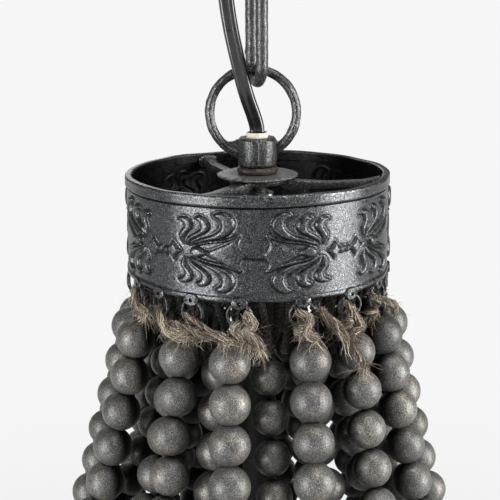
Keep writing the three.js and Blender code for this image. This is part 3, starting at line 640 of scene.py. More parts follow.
def add_ceiling_fitting():
    low, high = heights("canopy")
    share = np.linspace(0, 1, 22)
    slope = np.stack([62 - 42 * share + 9 * np.sin(math.pi * share),
                      high - 4 - 19.7 * share - 4.5 * np.sin(math.pi * share)], -1)
    slope[:, 1] = np.maximum(slope[:, 1], low)
    inner = slope[::-1] + (-0.9, 1.1)
    profile = [(61.2, high - 0.2), (62, high - 0.8), (61.7, high - 2), (62, high - 3.2), *slope,
               (19, low), (18.2, low + 0.5), (16, low + 0.5), (15.4, low), (5.3, low), (5.3, low + 1.2),
               (19, low + 1.3), *inner[1:], (60.6, high - 2), (60.6, high)]
    add_turned("canopy_bell", "canopy", IRON, profile, 128, (0.12, 6, 4.0))
    mouth = heights("canopy_loop")[1] - HUB_HEIGHT
    add_piece("canopy_ring", loop_shape(-1, mouth, 0, 7.0), IRON, "canopy_loop")
    add_piece("canopy_tube", thread_shape(3.9, *heights("canopy_nipple")), ZINC, "canopy_nipple")
    for node in ("ceiling_strap", "canopy_lock_nut"):
        for slot in frame["nodes"][node].material_slots:
            slot.material = ZINC


def add_chain():
    for node, turn, seed, seam in (("chain_link_top", 90, 1.0, 9), ("chain_link_middle", 0, 2.0, -8),
                                   ("chain_link_lowest", 76, 3.0, -11.4)):
        shape = link_shape(sum(heights(node)) / 2, -math.radians(turn), seed, seam)
        add_piece(node + "_cast", shape, IRON, node)


def add_hub():
    mouth = heights("hanging_loop")[0] + HUB_HEIGHT
    add_piece("hanging_ring", loop_shape(1, mouth, -1.8, 11.0), IRON, "hanging_loop")

    # Split collar round the cord
    low, high = heights("cord_bushing")
    rings = []
    for angle in np.linspace(math.radians(8), math.radians(352), 60):
        lump = 0.5 * math.exp(-(((math.degrees(angle) - 300) / 22) ** 2))
        flat = rounded([(4.0, low), (5.0, low), (5.0 + 0.2 * lump, high - 0.7 + lump),
                        (4.7, high + 0.5 * lump), (4.0, high - 0.1)], 0.3)
        rings.append(np.stack([flat[:, 0] * math.cos(angle + 1.1), flat[:, 0] * math.sin(angle + 1.1),
                               flat[:, 1]], -1))
    add_piece("bushing", roughen(Shape().add(*skin(rings)), 0.08, 1.6, 3.0), IVORY, "cord_bushing")

    # Bulging collar nut with a coarse rim
    low, high = heights("lock_nut")
    profile = rounded([(5.3, low), (8.8, low), (9.4, low + 0.9), (9.35, high - 0.8), (8.6, high), (5.3, high)],
                      0.35)
    add_turned("collar_nut", "lock_nut", RUST, dense(profile, 4), 96, (0.22, 1.4, 5.0))

    # Washer, its edge beaten into shallow scallops
    low, high = heights("hub_washer")
    profile = [(5.3, low), (12, low), (17.6, low), (18.5, low + 0.35), (18.7, (low + high) / 2),
               (18.5, high - 0.35), (17.6, high), (12, high), (5.3, high)]
    points, quads, tris = lathe(profile, 144)
    edge = np.hypot(points[:, 0], points[:, 1]) > 17
    turn = np.arctan2(points[:, 1], points[:, 0])
    wave = 0.16 * np.sin(turn * 19) + 0.14 * np.sin(turn * 31 + 1) - 0.25
    # Painted highlight on the edge, which gets the top tone; the rest is rubbed pale.
    shape = Shape().add(widen(points, np.where(edge, wave, 0)), quads, tris, tone=np.where(edge, 1, 0.8))
    add_piece("washer", roughen(shape, 0.2, 1.7, 6.0), WASHER, "hub_washer")
    add_piece("hub_tube", thread_shape(3.95, *heights("hub_nipple")), ZINC, "hub_nipple")


# Crown: a band of sheet metal with a stamped relief. Along is measured round its face.
CROWN_RADIUS = 59.75
CROWN_INSIDE = 58.75
RELIEF_DEPTH = 1.6
FOCUS_HEIGHT = -21.25  # the palmettes' middle, below the seat of the washer
# Turn in degrees of each palmette's middle, and the side it opens to
PALMETTES = [
    (-30.7, 1), (27.1, -1), (50.0, 1), (107.8, -1), (130.7, 1), (188.5, -1), (211.4, 1),
    (225.7, -1), (248.6, 1), (306.4, -1),
]
CROWN_SEAM = 220.5  # where the band's ends meet, which cuts off the palmettes beside it
# Outlines of one palmette's upper leaves, its fan, bud and stem, in millimetres from its middle
LEAVES = [
    [(-0.8, 2.3), (-2.2, 4.6), (-2.5, 6.3), (-1.1, 8.4), (-0.6, 10.0), (-1.8, 11.6), (-3.7, 12.2), (-2.0, 13.5),
     (0.8, 13.4), (2.8, 12.1), (3.4, 10.3), (2.7, 8.5), (0.9, 6.6), (-0.1, 4.5), (0.0, 2.4)],
    [(0.9, 2.0), (0.8, 3.7), (2.2, 5.6), (5.4, 7.6), (7.1, 9.0), (7.3, 11.0), (6.2, 12.5), (4.5, 13.2),
     (6.4, 14.7), (9.2, 14.3), (11.4, 12.5), (12.0, 10.3), (10.5, 8.0), (7.0, 6.0), (3.2, 4.0), (1.7, 2.4)],
    [(2.1, 1.6), (3.2, 2.8), (7.0, 4.7), (12.3, 6.6), (15.8, 8.8), (17.0, 11.0), (16.2, 13.4), (13.6, 15.1),
     (15.2, 16.4), (18.1, 16.4), (20.8, 14.8), (22.3, 12.1), (21.5, 9.1), (18.8, 6.7), (14.1, 4.9), (8.7, 3.7),
     (4.2, 2.2)],
    [(5.6, 2.3), (9.0, 3.5), (13.4, 4.5), (18.6, 5.6), (23.4, 7.4), (23.9, 6.5), (19.0, 4.5), (13.4, 3.3),
     (9.2, 2.5), (6.0, 1.8)],
]
FAN = [(10.4, -0.7), (13.0, 0.4), (17.0, 2.2), (21.0, 4.2), (24.7, 6.7), (23.5, 4.4), (23.7, 1.4), (25.8, -1.6),
       (24.0, -4.4), (23.4, -6.4), (24.9, -8.8), (20.6, -6.4), (16.0, -4.6), (13.0, -3.2), (10.4, -2.2)]
BUD = [(2.8, -0.8), (3.6, 0.6), (5.4, 1.4), (7.4, 1.0), (9.2, 0.1), (11.4, -0.6), (11.4, -1.7), (9.2, -2.0),
       (7.4, -2.7), (5.4, -3.0), (3.6, -2.2)]
STEM = [(25.6, -1.5), (28.5, -1.6), (31.2, -1.5), (31.2, -2.4), (28.5, -2.5), (25.6, -2.4)]
LEAF_MIDDLE = -0.6  # the height about which the leaves are mirrored
EAR_BACK, EAR_FACE = -59.4, -61.1  # how far an ear's two sides lie from the hanging axis


def depth_inside(u, v, outline, count=4):
    """How far each point lies inside a closed smooth outline. It is negative outside."""
    line = smooth_line(outline, count * len(outline), closed=True)
    gap, inside = np.full(u.shape, 99.0), np.zeros(u.shape, bool)
    for start, end in zip(line, np.roll(line, -1, 0)):
        way = end - start
        share = np.clip(((u - start[0]) * way[0] + (v - start[1]) * way[1]) / (way @ way), 0, 1)
        gap = np.minimum(gap, np.hypot(u - start[0] - share * way[0], v - start[1] - share * way[1]))
        if way[1]:
            inside ^= ((start[1] > v) != (end[1] > v)) & (u < start[0] + (v - start[1]) * way[0] / way[1])
    return np.where(inside, gap, -gap)


def palmette_form(u, v):
    """Height of one palmette, and how far points lie inside its forms. U grows towards its open side."""
    height, inside = np.zeros(u.shape), np.full(u.shape, -99.0)
    leaves = list(zip(LEAVES, (0.8, 0.85, 0.9, 0.5), (1.3, 1.4, 1.6, 0.6)))
    lower = [([(a, 2 * LEAF_MIDDLE - b) for a, b in leaf], tall, soft) for leaf, tall, soft in leaves]
    for outline, tall, soft in leaves + lower + [(FAN, 0.45, 1.9), (BUD, 1.05, 1.5), (STEM, 0.3, 0.5)]:
        depth = depth_inside(u, v, outline)
        fade = np.clip(np.hypot(u, v - LEAF_MIDDLE) / 6.5, 0.05, 1) if outline is not BUD else 1
        height = np.maximum(height, fade * tall * np.sqrt(1 - (1 - np.clip(depth / soft, 0, 1)) ** 2))
        inside = np.maximum(inside, depth)
    star = 1 - (np.abs(u + 6.1) / 4.3) ** 0.85 - (np.abs(v + 1.3) / 4.4) ** 0.85
    height = np.maximum(height, 0.85 * np.clip(2.6 * star, 0, 1) ** 0.6)
    pearl = 1.5 - np.hypot(u + 13.4, v + 1.6)
    height = np.maximum(height, 0.7 * np.clip(pearl / 1.5, 0, 1) ** 0.5)
    return height, np.max([inside, star * 3.4, pearl], 0)


def crown_relief(turns, levels):
    """Height of the stamped relief over the band as a share of its depth, and painted shade along its edges."""
    height = np.zeros((len(levels), len(turns)))
    inside = np.full(height.shape, -99.0)
    for turn, opens in PALMETTES:
        gap = (turns - turn + 180) % 360 - 180
        u = opens * np.radians(gap) * CROWN_RADIUS
        near = (u > -16) & (u < 32)
        if abs(turn - CROWN_SEAM) < 12:
            near &= (turns - CROWN_SEAM) * (turn - CROWN_SEAM) > 0
        along, up = np.meshgrid(u[near], levels - FOCUS_HEIGHT)
        shift = 0.3 * np.sin(0.3 * up + 0.25 * along + turn)
        form, depth = palmette_form(along + shift, up + 0.6 * shift)
        height[:, near] = np.maximum(height[:, near], form)
        inside[:, near] = np.maximum(inside[:, near], depth)
    # Painted shade: a dark line round each form, heaviest on its lower edges and on one side, as if lit from
    # the top right.
    down = np.gradient(inside, levels, axis=0)
    aside = np.gradient(inside, np.radians(turns) * CROWN_RADIUS, axis=1)
    edge = np.exp(-(((inside + 0.2) / 0.36) ** 2))
    edge_shade = edge * np.clip(0.35 + 0.6 * down + 0.2 * aside, 0.03, 1)
    return height - 0.2 * np.exp(-(((inside + 0.4) / 0.4) ** 2)) * (inside < 0), edge_shade


def ear_shape(turn, foot):
    """Rounded lug under the band with a hole for a wire ring."""
    angle = np.linspace(0, 2 * math.pi, 40, endpoint=False)
    outer = np.stack([3.6 * np.cos(angle), foot + np.where(np.sin(angle) > 0, 2.6, 2.9) * np.sin(angle)], -1)
    hole = ring_section(0.9, 40) + (0, foot - 0.4)
    eased = outer * 0.9 + outer.mean(0) * 0.1
    levels = [(outer, EAR_BACK), (outer, EAR_FACE + 0.4), (eased, EAR_FACE), (hole, EAR_FACE), (hole, EAR_BACK)]
    points, quads, tris = skin([np.insert(ring, 1, level, axis=1) for ring, level in levels], closed=True)
    return spin(points, turn), quads, tris


def add_crown():
    """The band. Levels are heights from the washer's seat, first down its face, then up its inside."""
    low, high = heights("crown_band")
    top, foot = high - SEAT, low + 3 - SEAT
    turns = np.linspace(0, 360, 900, endpoint=False)
    angle = np.radians(turns)
    bounds = [top, top - 0.9, top - 4.2, top - 5.6, foot + 3.4, foot + 1.9, foot]
    levels = [np.linspace(a, b, count)[:-1] for a, b, count in zip(bounds, bounds[1:], (5, 6, 9, 100, 8, 7))]
    levels = np.concatenate([*levels, [foot]])
    face = np.interp(-levels, -np.array([
        top, top - 0.35, top - 0.9, top - 2.4, top - 4.2, top - 4.7, top - 4.85, top - 5.15, top - 5.5,
        foot + 3.2, foot + 2.5, foot + 2.1, foot + 1.3, foot + 0.5, foot]), [
        60.05, 60.35, 60.5, 60.42, 60.5, 60.25, 59.2, 59.2, CROWN_RADIUS,
        CROWN_RADIUS, 60.0, 60.35, 60.5, 60.35, 59.9])
    relief, edge_shade = crown_relief(turns, levels)
    blur = (np.roll(relief, 1, 1) + np.roll(relief, -1, 1) + 4 * relief) / 6
    # Painted shade: black in the crease under the rim, round the relief, and down the inside below the hem's
    # top. Painted highlight: a high tone gives pale flecks on the rim's top, on the relief's tops and on the
    # hem's top edge.
    groove = np.exp(-(((levels - top + 5) / 0.35) ** 2))[:, None]
    bright = 0.85 * np.clip((levels - top + 1.6) / 1.2, 0, 1)[:, None] + 0.3 * np.clip(relief, 0, 1)
    hem_light = np.clip((levels[::-1] - top + 0.8) / 0.7, 0, 1)[:, None] + np.zeros(edge_shade.shape)
    hem_shade = np.maximum(0.8 * (1 - hem_light), 0.15 * (levels[::-1] > top - 4.4)[:, None])
    painted_shade = np.concatenate([np.maximum(edge_shade, groove), hem_shade]).ravel()
    shine = np.concatenate([np.clip(0.5 + 0.5 * bright, 0, 1), 0.5 + 0.4 * hem_light]).ravel()
    hem = np.interp(-levels, -np.array([top, top - 0.4, top - 4.4, top - 4.8, foot]), [0.9, 1.5, 1.5, 0, 0])
    waver = 0.16 * np.sin(angle * 7 + 1) + 0.1 * np.sin(angle * 17)
    seam = 0.5 * np.exp(-(((turns - CROWN_SEAM) / 0.7) ** 2))
    outside = face[:, None] + RELIEF_DEPTH * blur + waver - seam
    inside = CROWN_INSIDE - hem[:, None] + 0.75 * RELIEF_DEPTH * blur + waver
    lift = 0.14 * np.sin(angle * 5 + 0.6) + 0.1 * np.sin(angle * 13 + 2)
    loose = np.clip((levels - (top - 5)) / 5, 0, 1) + 2.2 * np.clip((foot + 4 - levels) / 4, 0, 1)
    height = SEAT + levels[:, None] + loose[:, None] * lift
    rings = hanging(angle, np.vstack([outside, inside[::-1]]), np.vstack([height, height[::-1]]))
    shape = Shape().add(*skin(rings, closed=True), tone=shine, worn=painted_shade)
    for turn in RING_TURNS:
        shape.add(*ear_shape(math.radians(turn), SEAT + foot))
    add_piece("crown", shape, CROWN_IRON, "crown_band", smooth=50)


# Spider: a notched hub whose arms carry the crown
ARM_TURNS = [math.radians(-4 + 120 * i) for i in range(3)]  # about the axis from +X
TAB_REACH = 58.2
TAB_HALF = 4.5


def lying_bar(stations):
    """Bar along +X from stations of (x, half width, bottom, top)."""
    rings = []
    for x, half, low, high in stations:
        edge = min(half, (high - low) / 2) * 0.35
        flat = rounded([(-half, low), (half, low), (half, high), (-half, high)], edge)
        rings.append(np.insert(flat, 0, x, axis=1))
    return skin(rings)


def add_spider():
    top, bottom = SEAT - 0.3, SEAT - 7.3
    profile = raised([(HUB_BORE, 0), (12, 0), (13, -0.8), (13, -2), (12.2, -2.6), (HUB_BORE, -2.6)], top)
    # Painted highlight: the hub's high tone gives it pale flecks.
    shape = Shape().add(*lathe(rounded(profile, 0.3), 84), tone=0.9)
    stations = [(8, 4.6, top - 2.6, top), (12.5, 4.4, top - 4.4, top - 0.1), (15.5, 3.2, bottom + 1, top - 0.6),
                (20, 2.6, bottom + 2, top - 1.4), (32, 2.5, bottom + 2.2, top - 1.9),
                (48, 2.5, bottom + 2.4, top - 1.2), (56, 2.5, bottom + 3, top + 0.6)]
    arm = lying_bar(stations)
    rings = []
    for y in np.linspace(-TAB_HALF, TAB_HALF, 15):
        drop = 1.6 * (abs(y) / TAB_HALF) ** 3
        under, over = top - 4.6 + drop, top + 1.6 - 0.7 * drop
        flat = rounded([(-1.5, under), (0, under), (0, over), (-1.5, over)], 0.4)
        rings.append(np.insert(flat + (np.sqrt(TAB_REACH**2 - y**2), 0), 1, y, axis=1))
    # Painted highlight: the arms and tabs get a high tone above a height, so their tops are pale.
    for turn in ARM_TURNS:
        for (points, quads, tris), pale in ((arm, top - 2.2), (skin(rings), top - 1)):
            shape.add(spin(points, turn), quads, tris, tone=np.where(points[:, 2] > pale, 1, 0.5))
    add_piece("spider_casting", roughen(shape, 0.14, 2.4, 8.0), IRON, "spider")
    add_piece("spider_hex_nut", nut_shape(8.5, 5.3, *heights("spider_nut")), ZINC, "spider_nut")


# Column, wire box and hoop
HOOP_RADIUS = 158
HOOP_WALL = 1.6
HOOP_RIM = HOOP_RADIUS + 0.8


def add_column_and_box():
    low, high = heights("column_tube")
    marks = [(radius, z + shift) for z in np.linspace(high - 6, low + 6, 12)
             for radius, shift in ((8, 0.4), (7.93, 0), (8, -0.4))]
    profile = [(7.05, low), (7.05, high), (7.8, high), (8, high - 0.3), *marks, (8, low + 0.3), (7.8, low)]
    add_turned("column", "column_tube", STEEL, profile, 64)

    low, high = heights("wire_box")
    roof = high - 9
    profile = rounded([(5.5, high), (5.5, roof - 2.4), (18.6, roof - 2.4), (18.6, low), (21, low),
                       (21, low + 3), (20.5, low + 3.6), (20.5, roof - 5), (21, roof - 4.4), (21, roof - 1.8),
                       (17, roof - 0.2), (9.6, roof), (8.2, roof), (6.5, roof + 0.3), (6.5, high)], 0.5)
    add_turned("wire_housing", "wire_box", IRON, profile, 96, (0.06, 3, 2.0))

    low, high = heights("wire_box_cover")
    profile = rounded([*raised([(0, 0), (20.4, 0), (21, -0.7), (20.6, -2), (14, -2.4), (7, -2.6), (5.2, -3.6),
                                (5.9, -5), (5.4, -6.4)], high), (3, low + 0.9), (0, low)], 0.6, closed=False)
    add_turned("wire_cover", "wire_box_cover", IRON, profile, 84)


def add_hoop():
    foot, top = heights("hoop")
    inside = HOOP_RADIUS - HOOP_WALL
    profile = rounded([(inside, top), (HOOP_RIM, top), (HOOP_RIM, top - 3), (HOOP_RADIUS, top - 3.6),
                       (HOOP_RADIUS, foot + 3.6), (HOOP_RIM, foot + 3), (HOOP_RIM, foot), (inside, foot)], 0.5)
    points, quads, tris = lathe(dense(profile, step=1.6), 360)
    turn = np.arctan2(points[:, 0], -points[:, 1])
    seam = 0.4 * np.exp(-((turn - 2.9) / 0.004) ** 2)
    points[:, :2] *= (1 - seam / inside)[:, None]
    add_piece("hoop_band", roughen(Shape().add(points, quads, tris), 0.2, 9, 4.0), CROWN_IRON, "hoop")


# Arms with candle lamps
LAMP_PLACE = 48  # the candle's distance from the hanging axis
ARM_MIDDLE = 4  # height of the arm's middle over its lowest point
NECK_HEIGHT = 21  # where the bulb's glass starts, over its contact


def add_lamp(number, turn):
    def at_lamp(points, quads, tris):
        return spin(points + (LAMP_PLACE, 0, 0), turn), quads, tris

    low, high = heights(f"lamp_arm_{number}")
    middle = low + ARM_MIDDLE
    profile = [(2.6, 21.3), (5.4, 21.3), (5.4, 23.4), (4.2, 24.6), (4, 26), (4, LAMP_PLACE - 8),
               (4.6, LAMP_PLACE - 7), (4.6, LAMP_PLACE + 7), (4, LAMP_PLACE + 8), (4, 146), (4.6, 147.5),
               (5, 150), (5, 155.6), (2.6, 155.6)]
    points, quads, tris = lathe(rounded(profile, 0.4), 40)
    shape = Shape().add(spin(points[:, [2, 1, 0]] * (1, 1, -1) + (0, 0, middle), turn), quads, tris)
    profile = [*raised([(2.6, 2.7), (5.6, 2.7), (6, 4.5), (5.2, 5.6), (6, 6.7)], middle),
               (6, high - 0.4), (5.7, high), (2.6, high)]
    shape.add(*at_lamp(*lathe(rounded(profile, 0.3), 56)))
    add_piece(f"arm_{number}", roughen(shape, 0.08, 2.5, number * 2.0), IRON, f"lamp_arm_{number}")

    # Drip pan with a fluted edge
    profile = raised([(2.6, 0), (13, 0), (17.6, 2.4), (20, 4.8), (19.6, 5), (18.4, 4.7), (16.2, 3.3),
                      (12.6, 1.5), (2.6, 1.5)], heights(f"drip_cup_{number}")[0])
    points, quads, tris = lathe(rounded(profile, 0.5), 128)
    flute = 0.35 * np.cos(16 * np.arctan2(points[:, 1], points[:, 0])) - 0.35
    widen(points, flute * np.clip((np.hypot(points[:, 0], points[:, 1]) - 14) / 6, 0, 1))
    shape = Shape().add(*at_lamp(points, quads, tris))
    add_piece(f"wax_pan_{number}", roughen(shape, 0.07, 3, number * 3.0), IRON, f"drip_cup_{number}")

    base, top = heights(f"socket_{number}")
    lower = raised([(0, 0), (8.6, 0), (9.4, 0.8), (9.4, 16), (8.9, 16.6), (8.9, 18), (9.4, 18.6)], base)
    upper = raised([(9.4, -1), (8.8, 0), (7.5, 0), (7.5, -20), (0, -20)], top)
    profile = rounded([*lower, *upper], 0.35, closed=False)
    add_piece(f"lampholder_{number}", Shape().add(*at_lamp(*lathe(profile, 56))), SOCKET, f"socket_{number}")

    # Sleeve with seven wax drips, each by its turn, its length and its width
    base, top = heights(f"candle_sleeve_{number}")
    rng = np.random.default_rng(70 + number)
    profile = [(10.45, base), (11.0, base), *[(11.15, z) for z in np.linspace(base + 0.3, top - 0.5, 70)],
               (11.0, top), (10.5, top), (10.4, top - 1), (10.4, base + 1)]
    points, quads, tris = lathe(profile, 96)
    angle, swell = np.arctan2(points[:, 1], points[:, 0]), np.zeros(len(points))
    for _ in range(7):
        at, reach, wide = rng.uniform(0, 2 * math.pi), rng.uniform(6, 24), rng.uniform(0.12, 0.2)
        gap = (angle - at + math.pi) % (2 * math.pi) - math.pi
        over = points[:, 2] - (top - reach)
        tip = 1 + 0.5 * np.exp(-(((over - 2) / 2) ** 2))
        swell = np.maximum(swell, 0.55 * np.exp(-((gap / wide) ** 2)) * np.clip(over / 2.5, 0, 1) * tip)
    widen(points, np.where(np.hypot(points[:, 0], points[:, 1]) > 10.8, swell, 0))
    add_piece(f"candle_tube_{number}", Shape().add(*at_lamp(points, quads, tris)), SLEEVE,
              f"candle_sleeve_{number}", smooth=60)

    # Bulb: screw base, glass, the stem in it and the wire
    base = heights(f"bulb_{number}")[0]
    neck = base + NECK_HEIGHT
    thread = [(6.2 + 0.35 * math.cos(2 * math.pi * z / 2.6), base + 3 + z) for z in np.linspace(0, 15.6, 49)]
    profile = [*raised([(0, 0), (2.4, 0), (2.6, 0.8), (4.5, 1.4), (6, 2.6)], base), *thread,
               (6.4, neck - 2), (6.4, neck - 0.1), (0, neck - 0.1)]
    shape = Shape().add(*at_lamp(*lathe(profile, 48)), slot=1)
    outer = smooth_line(raised([(6.3, 0), (9.4, 4.6), (14.5, 13.8), (15.2, 21), (13.2, 29), (9.3, 36.8),
                                (4.2, 42), (1.2, 45.4), (0, 46)], neck), 60)
    outer[:, 0] = np.maximum(outer[:, 0], 0)
    inner = outer[::-1].copy()
    inner[:, 0] = np.maximum(0, inner[:, 0] - 0.55)
    inner[:, 1] -= 0.5 * np.clip((inner[:, 1] - neck) / 46, 0, 1)
    tip = outer[-1, 1]
    shape.add(*at_lamp(*lathe(np.vstack([(0, tip - 0.9), inner[inner[:, 0] > 0], outer[:-1], (0, tip)]), 56)))
    stem = np.linspace((0, 0, neck), (0, 0, neck + 13), 16)
    shape.add(*at_lamp(*sweep(stem, ring_section(2.1, 12), grow=np.linspace(1.6, 0.5, 16))))
    zigzag = [(4.2 * math.cos(a), 4.2 * math.sin(a), neck + (14 if i % 2 else 31))
              for i, a in enumerate(np.linspace(0, 1.72 * math.pi, 9))]
    wire = smooth_line([(0.6, 0, neck + 12), *zigzag, (-0.6, 0, neck + 12)], 220)
    shape.add(*at_lamp(*sweep(wire, ring_section(0.16, 6))), slot=2)
    add_piece(f"lamp_bulb_{number}", shape, [GLASS, BRASS, FILAMENT], f"bulb_{number}", smooth=60)


# Bead strands of the tent. They hang as a catenary does.
STRAND_TOP = SEAT - 53.8  # where the strands start, just above the rings' lowest points
STRAND_SAG = 58
STRAND_STEEPNESS = 5
STRAND_START = 57  # distance of a strand's upper end from the hanging axis
BEAD_PITCH = 17.4
BEAD_RADIUS = 9
OUTER_KNOT = 7.8  # length of twine over the first bead, in the outer and the inner layer
INNER_KNOT = 18
TIE_RADIUS = 2.4
INNER_INSET = 17
RING_RADIUS = 5.5
RING_WIRE = 0.55
RING_PLACE = 59.4
RING_YAW = math.radians(80)
HAIR_RADIUS = 0.085
HAIR_CURL = 0.35
HAIR_FALL = 0.35
ROUGH = 1
# For each ring: its turn, then for each leg the turn at the first bead and at the hoop, the
# share of the inner inset and the share of the common bead size
STRANDS = [
    (-62, [(-86, -90, 0, 1), (-67, -70, 0, 1.02)]),
    (-45, [(-53, -49, 1, 0.98), (-35, -29, 0, 0.98)]),
    (-28, [(-22, -17, 1, 1)]),
    (-7.5, [(-12, -4, 0, 1.02), (5.5, 6, 0.8, 0.92)]),
    (18.4, [(22, 12.5, 0, 1.02), (30.5, 28, 1, 0.96)]),
    (41.6, [(46, 36, 0, 0.98), (56, 50, 1, 0.98)]),
    (62, [(71, 59, 0, 1.02), (79, 74, 1, 0.98)]),
    (90, [(89, 89, 0, 1), (104, 103, 1, 1)]),
    (120, [(117, 117, 0, 1), (130, 131, 1, 1)]),
    (150, [(146, 145, 0, 1), (160, 160, 1, 1)]),
    (180, [(174, 171, 0, 1), (187, 187, 1, 1)]),
    (209, [(203, 201, 0, 1), (216, 215, 1, 1)]),
    (238, [(232, 227, 0, 1), (244, 243, 1, 1)]),
    (265, [(255, 256, 0, 1)]),
]
RING_TURNS = [turn for turn, _ in STRANDS]
STRAND_REACH = STRAND_SAG * STRAND_STEEPNESS
STRAND_SPREAD = STRAND_SAG * math.asinh(STRAND_STEEPNESS)
STRAND_LENGTH = STRAND_REACH - STRAND_SAG * math.sinh(
    (STRAND_START + STRAND_SPREAD - (HOOP_RADIUS - HOOP_WALL / 2)) / STRAND_SAG)


def tent_points(along, ring_turn, leg):
    """Points of a leg by their lengths along it from the wire ring."""
    along = np.asarray(along, float)
    top, hoop, inset, _ = leg
    left = STRAND_REACH - along
    pushed = inset * INNER_INSET * smoothstep(along, 0, 14) * (1 - smoothstep(along, 60, 190))
    radius = STRAND_START + STRAND_SPREAD - STRAND_SAG * np.arcsinh(left / STRAND_SAG) - pushed
    drop = math.hypot(STRAND_SAG, STRAND_REACH) - np.hypot(STRAND_SAG, left)
    turn = np.radians(ring_turn + (top - ring_turn) * smoothstep(along, 0, 14)
                      + (hoop - top) * along / STRAND_LENGTH)
    return hanging(turn, radius, STRAND_TOP - drop)


def unit_bead():
    """Bead of radius 1 about Z, with a sunken hole at each end, and its darkening by the holes: wear together
    with painted shade where beads meet.
    """
    turn = np.radians(np.linspace(-80, 80, 19))
    profile = [(0, -0.8), (0.1, -0.82), (0.15, -0.95), *zip(np.cos(turn), np.sin(turn)), (0.15, 0.95),
               (0.1, 0.82), (0, 0.8)]
    points, quads, tris = lathe(profile, 26)
    # Dark rims and holes where beads meet: wear together with painted shade.
    worn = np.clip((np.abs(points[:, 2]) - 0.9) / 0.06, 0, 1) * 0.8
    worn[np.hypot(points[:, 0], points[:, 1]) < 0.25] = 1
    return points, quads, tris, worn


UNIT_BEAD = unit_bead()


def add_bead(shape, middle, axis, radius, rng):
    """One bead, a little out of true. Its side towards the hanging axis is painted dark, painted shade for the
    inside of the tent.
    """
    points, quads, tris, worn = UNIT_BEAD
    axis = unit(axis + rng.normal(0, 0.05, 3))
    side = unit(np.cross(axis, rng.normal(size=3)))
    turn = np.stack([side, np.cross(axis, side), axis])
    scale = radius * rng.uniform(0.97, 1.005) * np.array([1, rng.uniform(0.985, 1.01), 1])
    middle = middle + 0.35 * rng.normal(size=3) * (1, 1, 0.3)
    points = (points * scale) @ turn
    # Painted shade: the half that faces the axis goes dark, so gaps show a black inside.
    inward = -(points[:, :2] @ unit(middle[:2])) / radius
    worn = np.maximum(worn, smoothstep(inward, 0, 0.4))
    shape.add(points + middle, quads, tris, slot=0, tone=rng.uniform(0.15, 0.85), worn=worn)


def add_beads(shape, line, start, count, radius, rng):
    """Beads side by side from a start on a line, which is called with lengths along it."""
    middles = start + (np.arange(count) + 0.5) * BEAD_PITCH
    places = line(middles)
    for place, ahead in zip(places, line(middles + 0.2) - places):
        add_bead(shape, place, unit(ahead), radius, rng)


def add_twine(shape, path, radius, tone, rng, lay=4.5, plies=2):
    """Twisted twine: plies that wind round each other."""
    path = even(np.asarray(path, float), 0.7)
    _, side, through = frames_along(path)
    along = np.concatenate([[0], np.linalg.norm(np.diff(path, axis=0), axis=1).cumsum()])
    wobble = 1 + 0.12 * np.sin(along * 1.9 + rng.uniform(0, 6)) + 0.08 * rng.normal(size=len(path))
    for i in range(plies):
        turn = (2 * math.pi * (along / lay + i / plies))[:, None]
        strand = path + 0.5 * radius * (np.cos(turn) * side + np.sin(turn) * through)
        points, quads, tris = sweep(strand, ring_section(0.62 * radius, 7), grow=wobble)
        shape.add(points, quads, tris, slot=1, tone=np.clip(tone + rng.normal(0, 0.05), 0, 1))


def add_hairs(shape, starts, ways, lengths, rng, tone):
    """Loose fibres from their starts, each a thin curling three-sided thread."""
    count, steps = len(starts), 6
    share = np.linspace(0, 1, steps)
    ways = unit(ways)
    bow = rng.normal(0, HAIR_CURL, (count, 1, 3))
    wave = rng.normal(0, HAIR_CURL * 0.7, (count, 1, 3))
    path = (starts[:, None] + lengths[:, None, None] * (
        share[:, None] * ways[:, None] + (share**2)[:, None] * bow
        + np.sin(share * math.pi * 1.7)[:, None] * 0.35 * wave))
    path[..., 2] -= HAIR_FALL * lengths[:, None] * share**2
    side = unit(np.cross(ways, rng.normal(size=(count, 3))))
    taper = HAIR_RADIUS * (1 - 0.65 * share) * rng.uniform(0.7, 1.3, (count, 1))
    around = three_sides(side, np.cross(ways, side))
    tones = tone - 0.1 + rng.normal(0, 0.16, count) + 0.35 * (rng.uniform(size=count) < 0.25)
    add_threads(shape, path[:, :, None] + taper[:, :, None, None] * around[:, None], tones)


def three_sides(side, other):
    """Three directions round a thread, from two that are square to it."""
    turn = (np.arange(3) * 2 * math.pi / 3)[:, None]
    return np.cos(turn) * side[..., None, :] + np.sin(turn) * other[..., None, :]


def add_fuzz(shape, path, spread, count, length, rng, tone=0.6, down=0.5):
    """Fibres standing off a piece of twine."""
    path = np.asarray(path, float)
    at = rng.integers(0, len(path) - 1, count)
    starts = path[at] + rng.normal(0, spread * 0.45, (count, 3))
    tangent = unit(path[np.minimum(at + 1, len(path) - 1)] - path[at] + 1e-6)
    ways = rng.normal(size=(count, 3)) + tangent * rng.normal(0.3, 1.0, (count, 1)) - UP * down
    add_hairs(shape, starts, ways, length * rng.uniform(0.35, 1.25, count), rng, tone=tone)


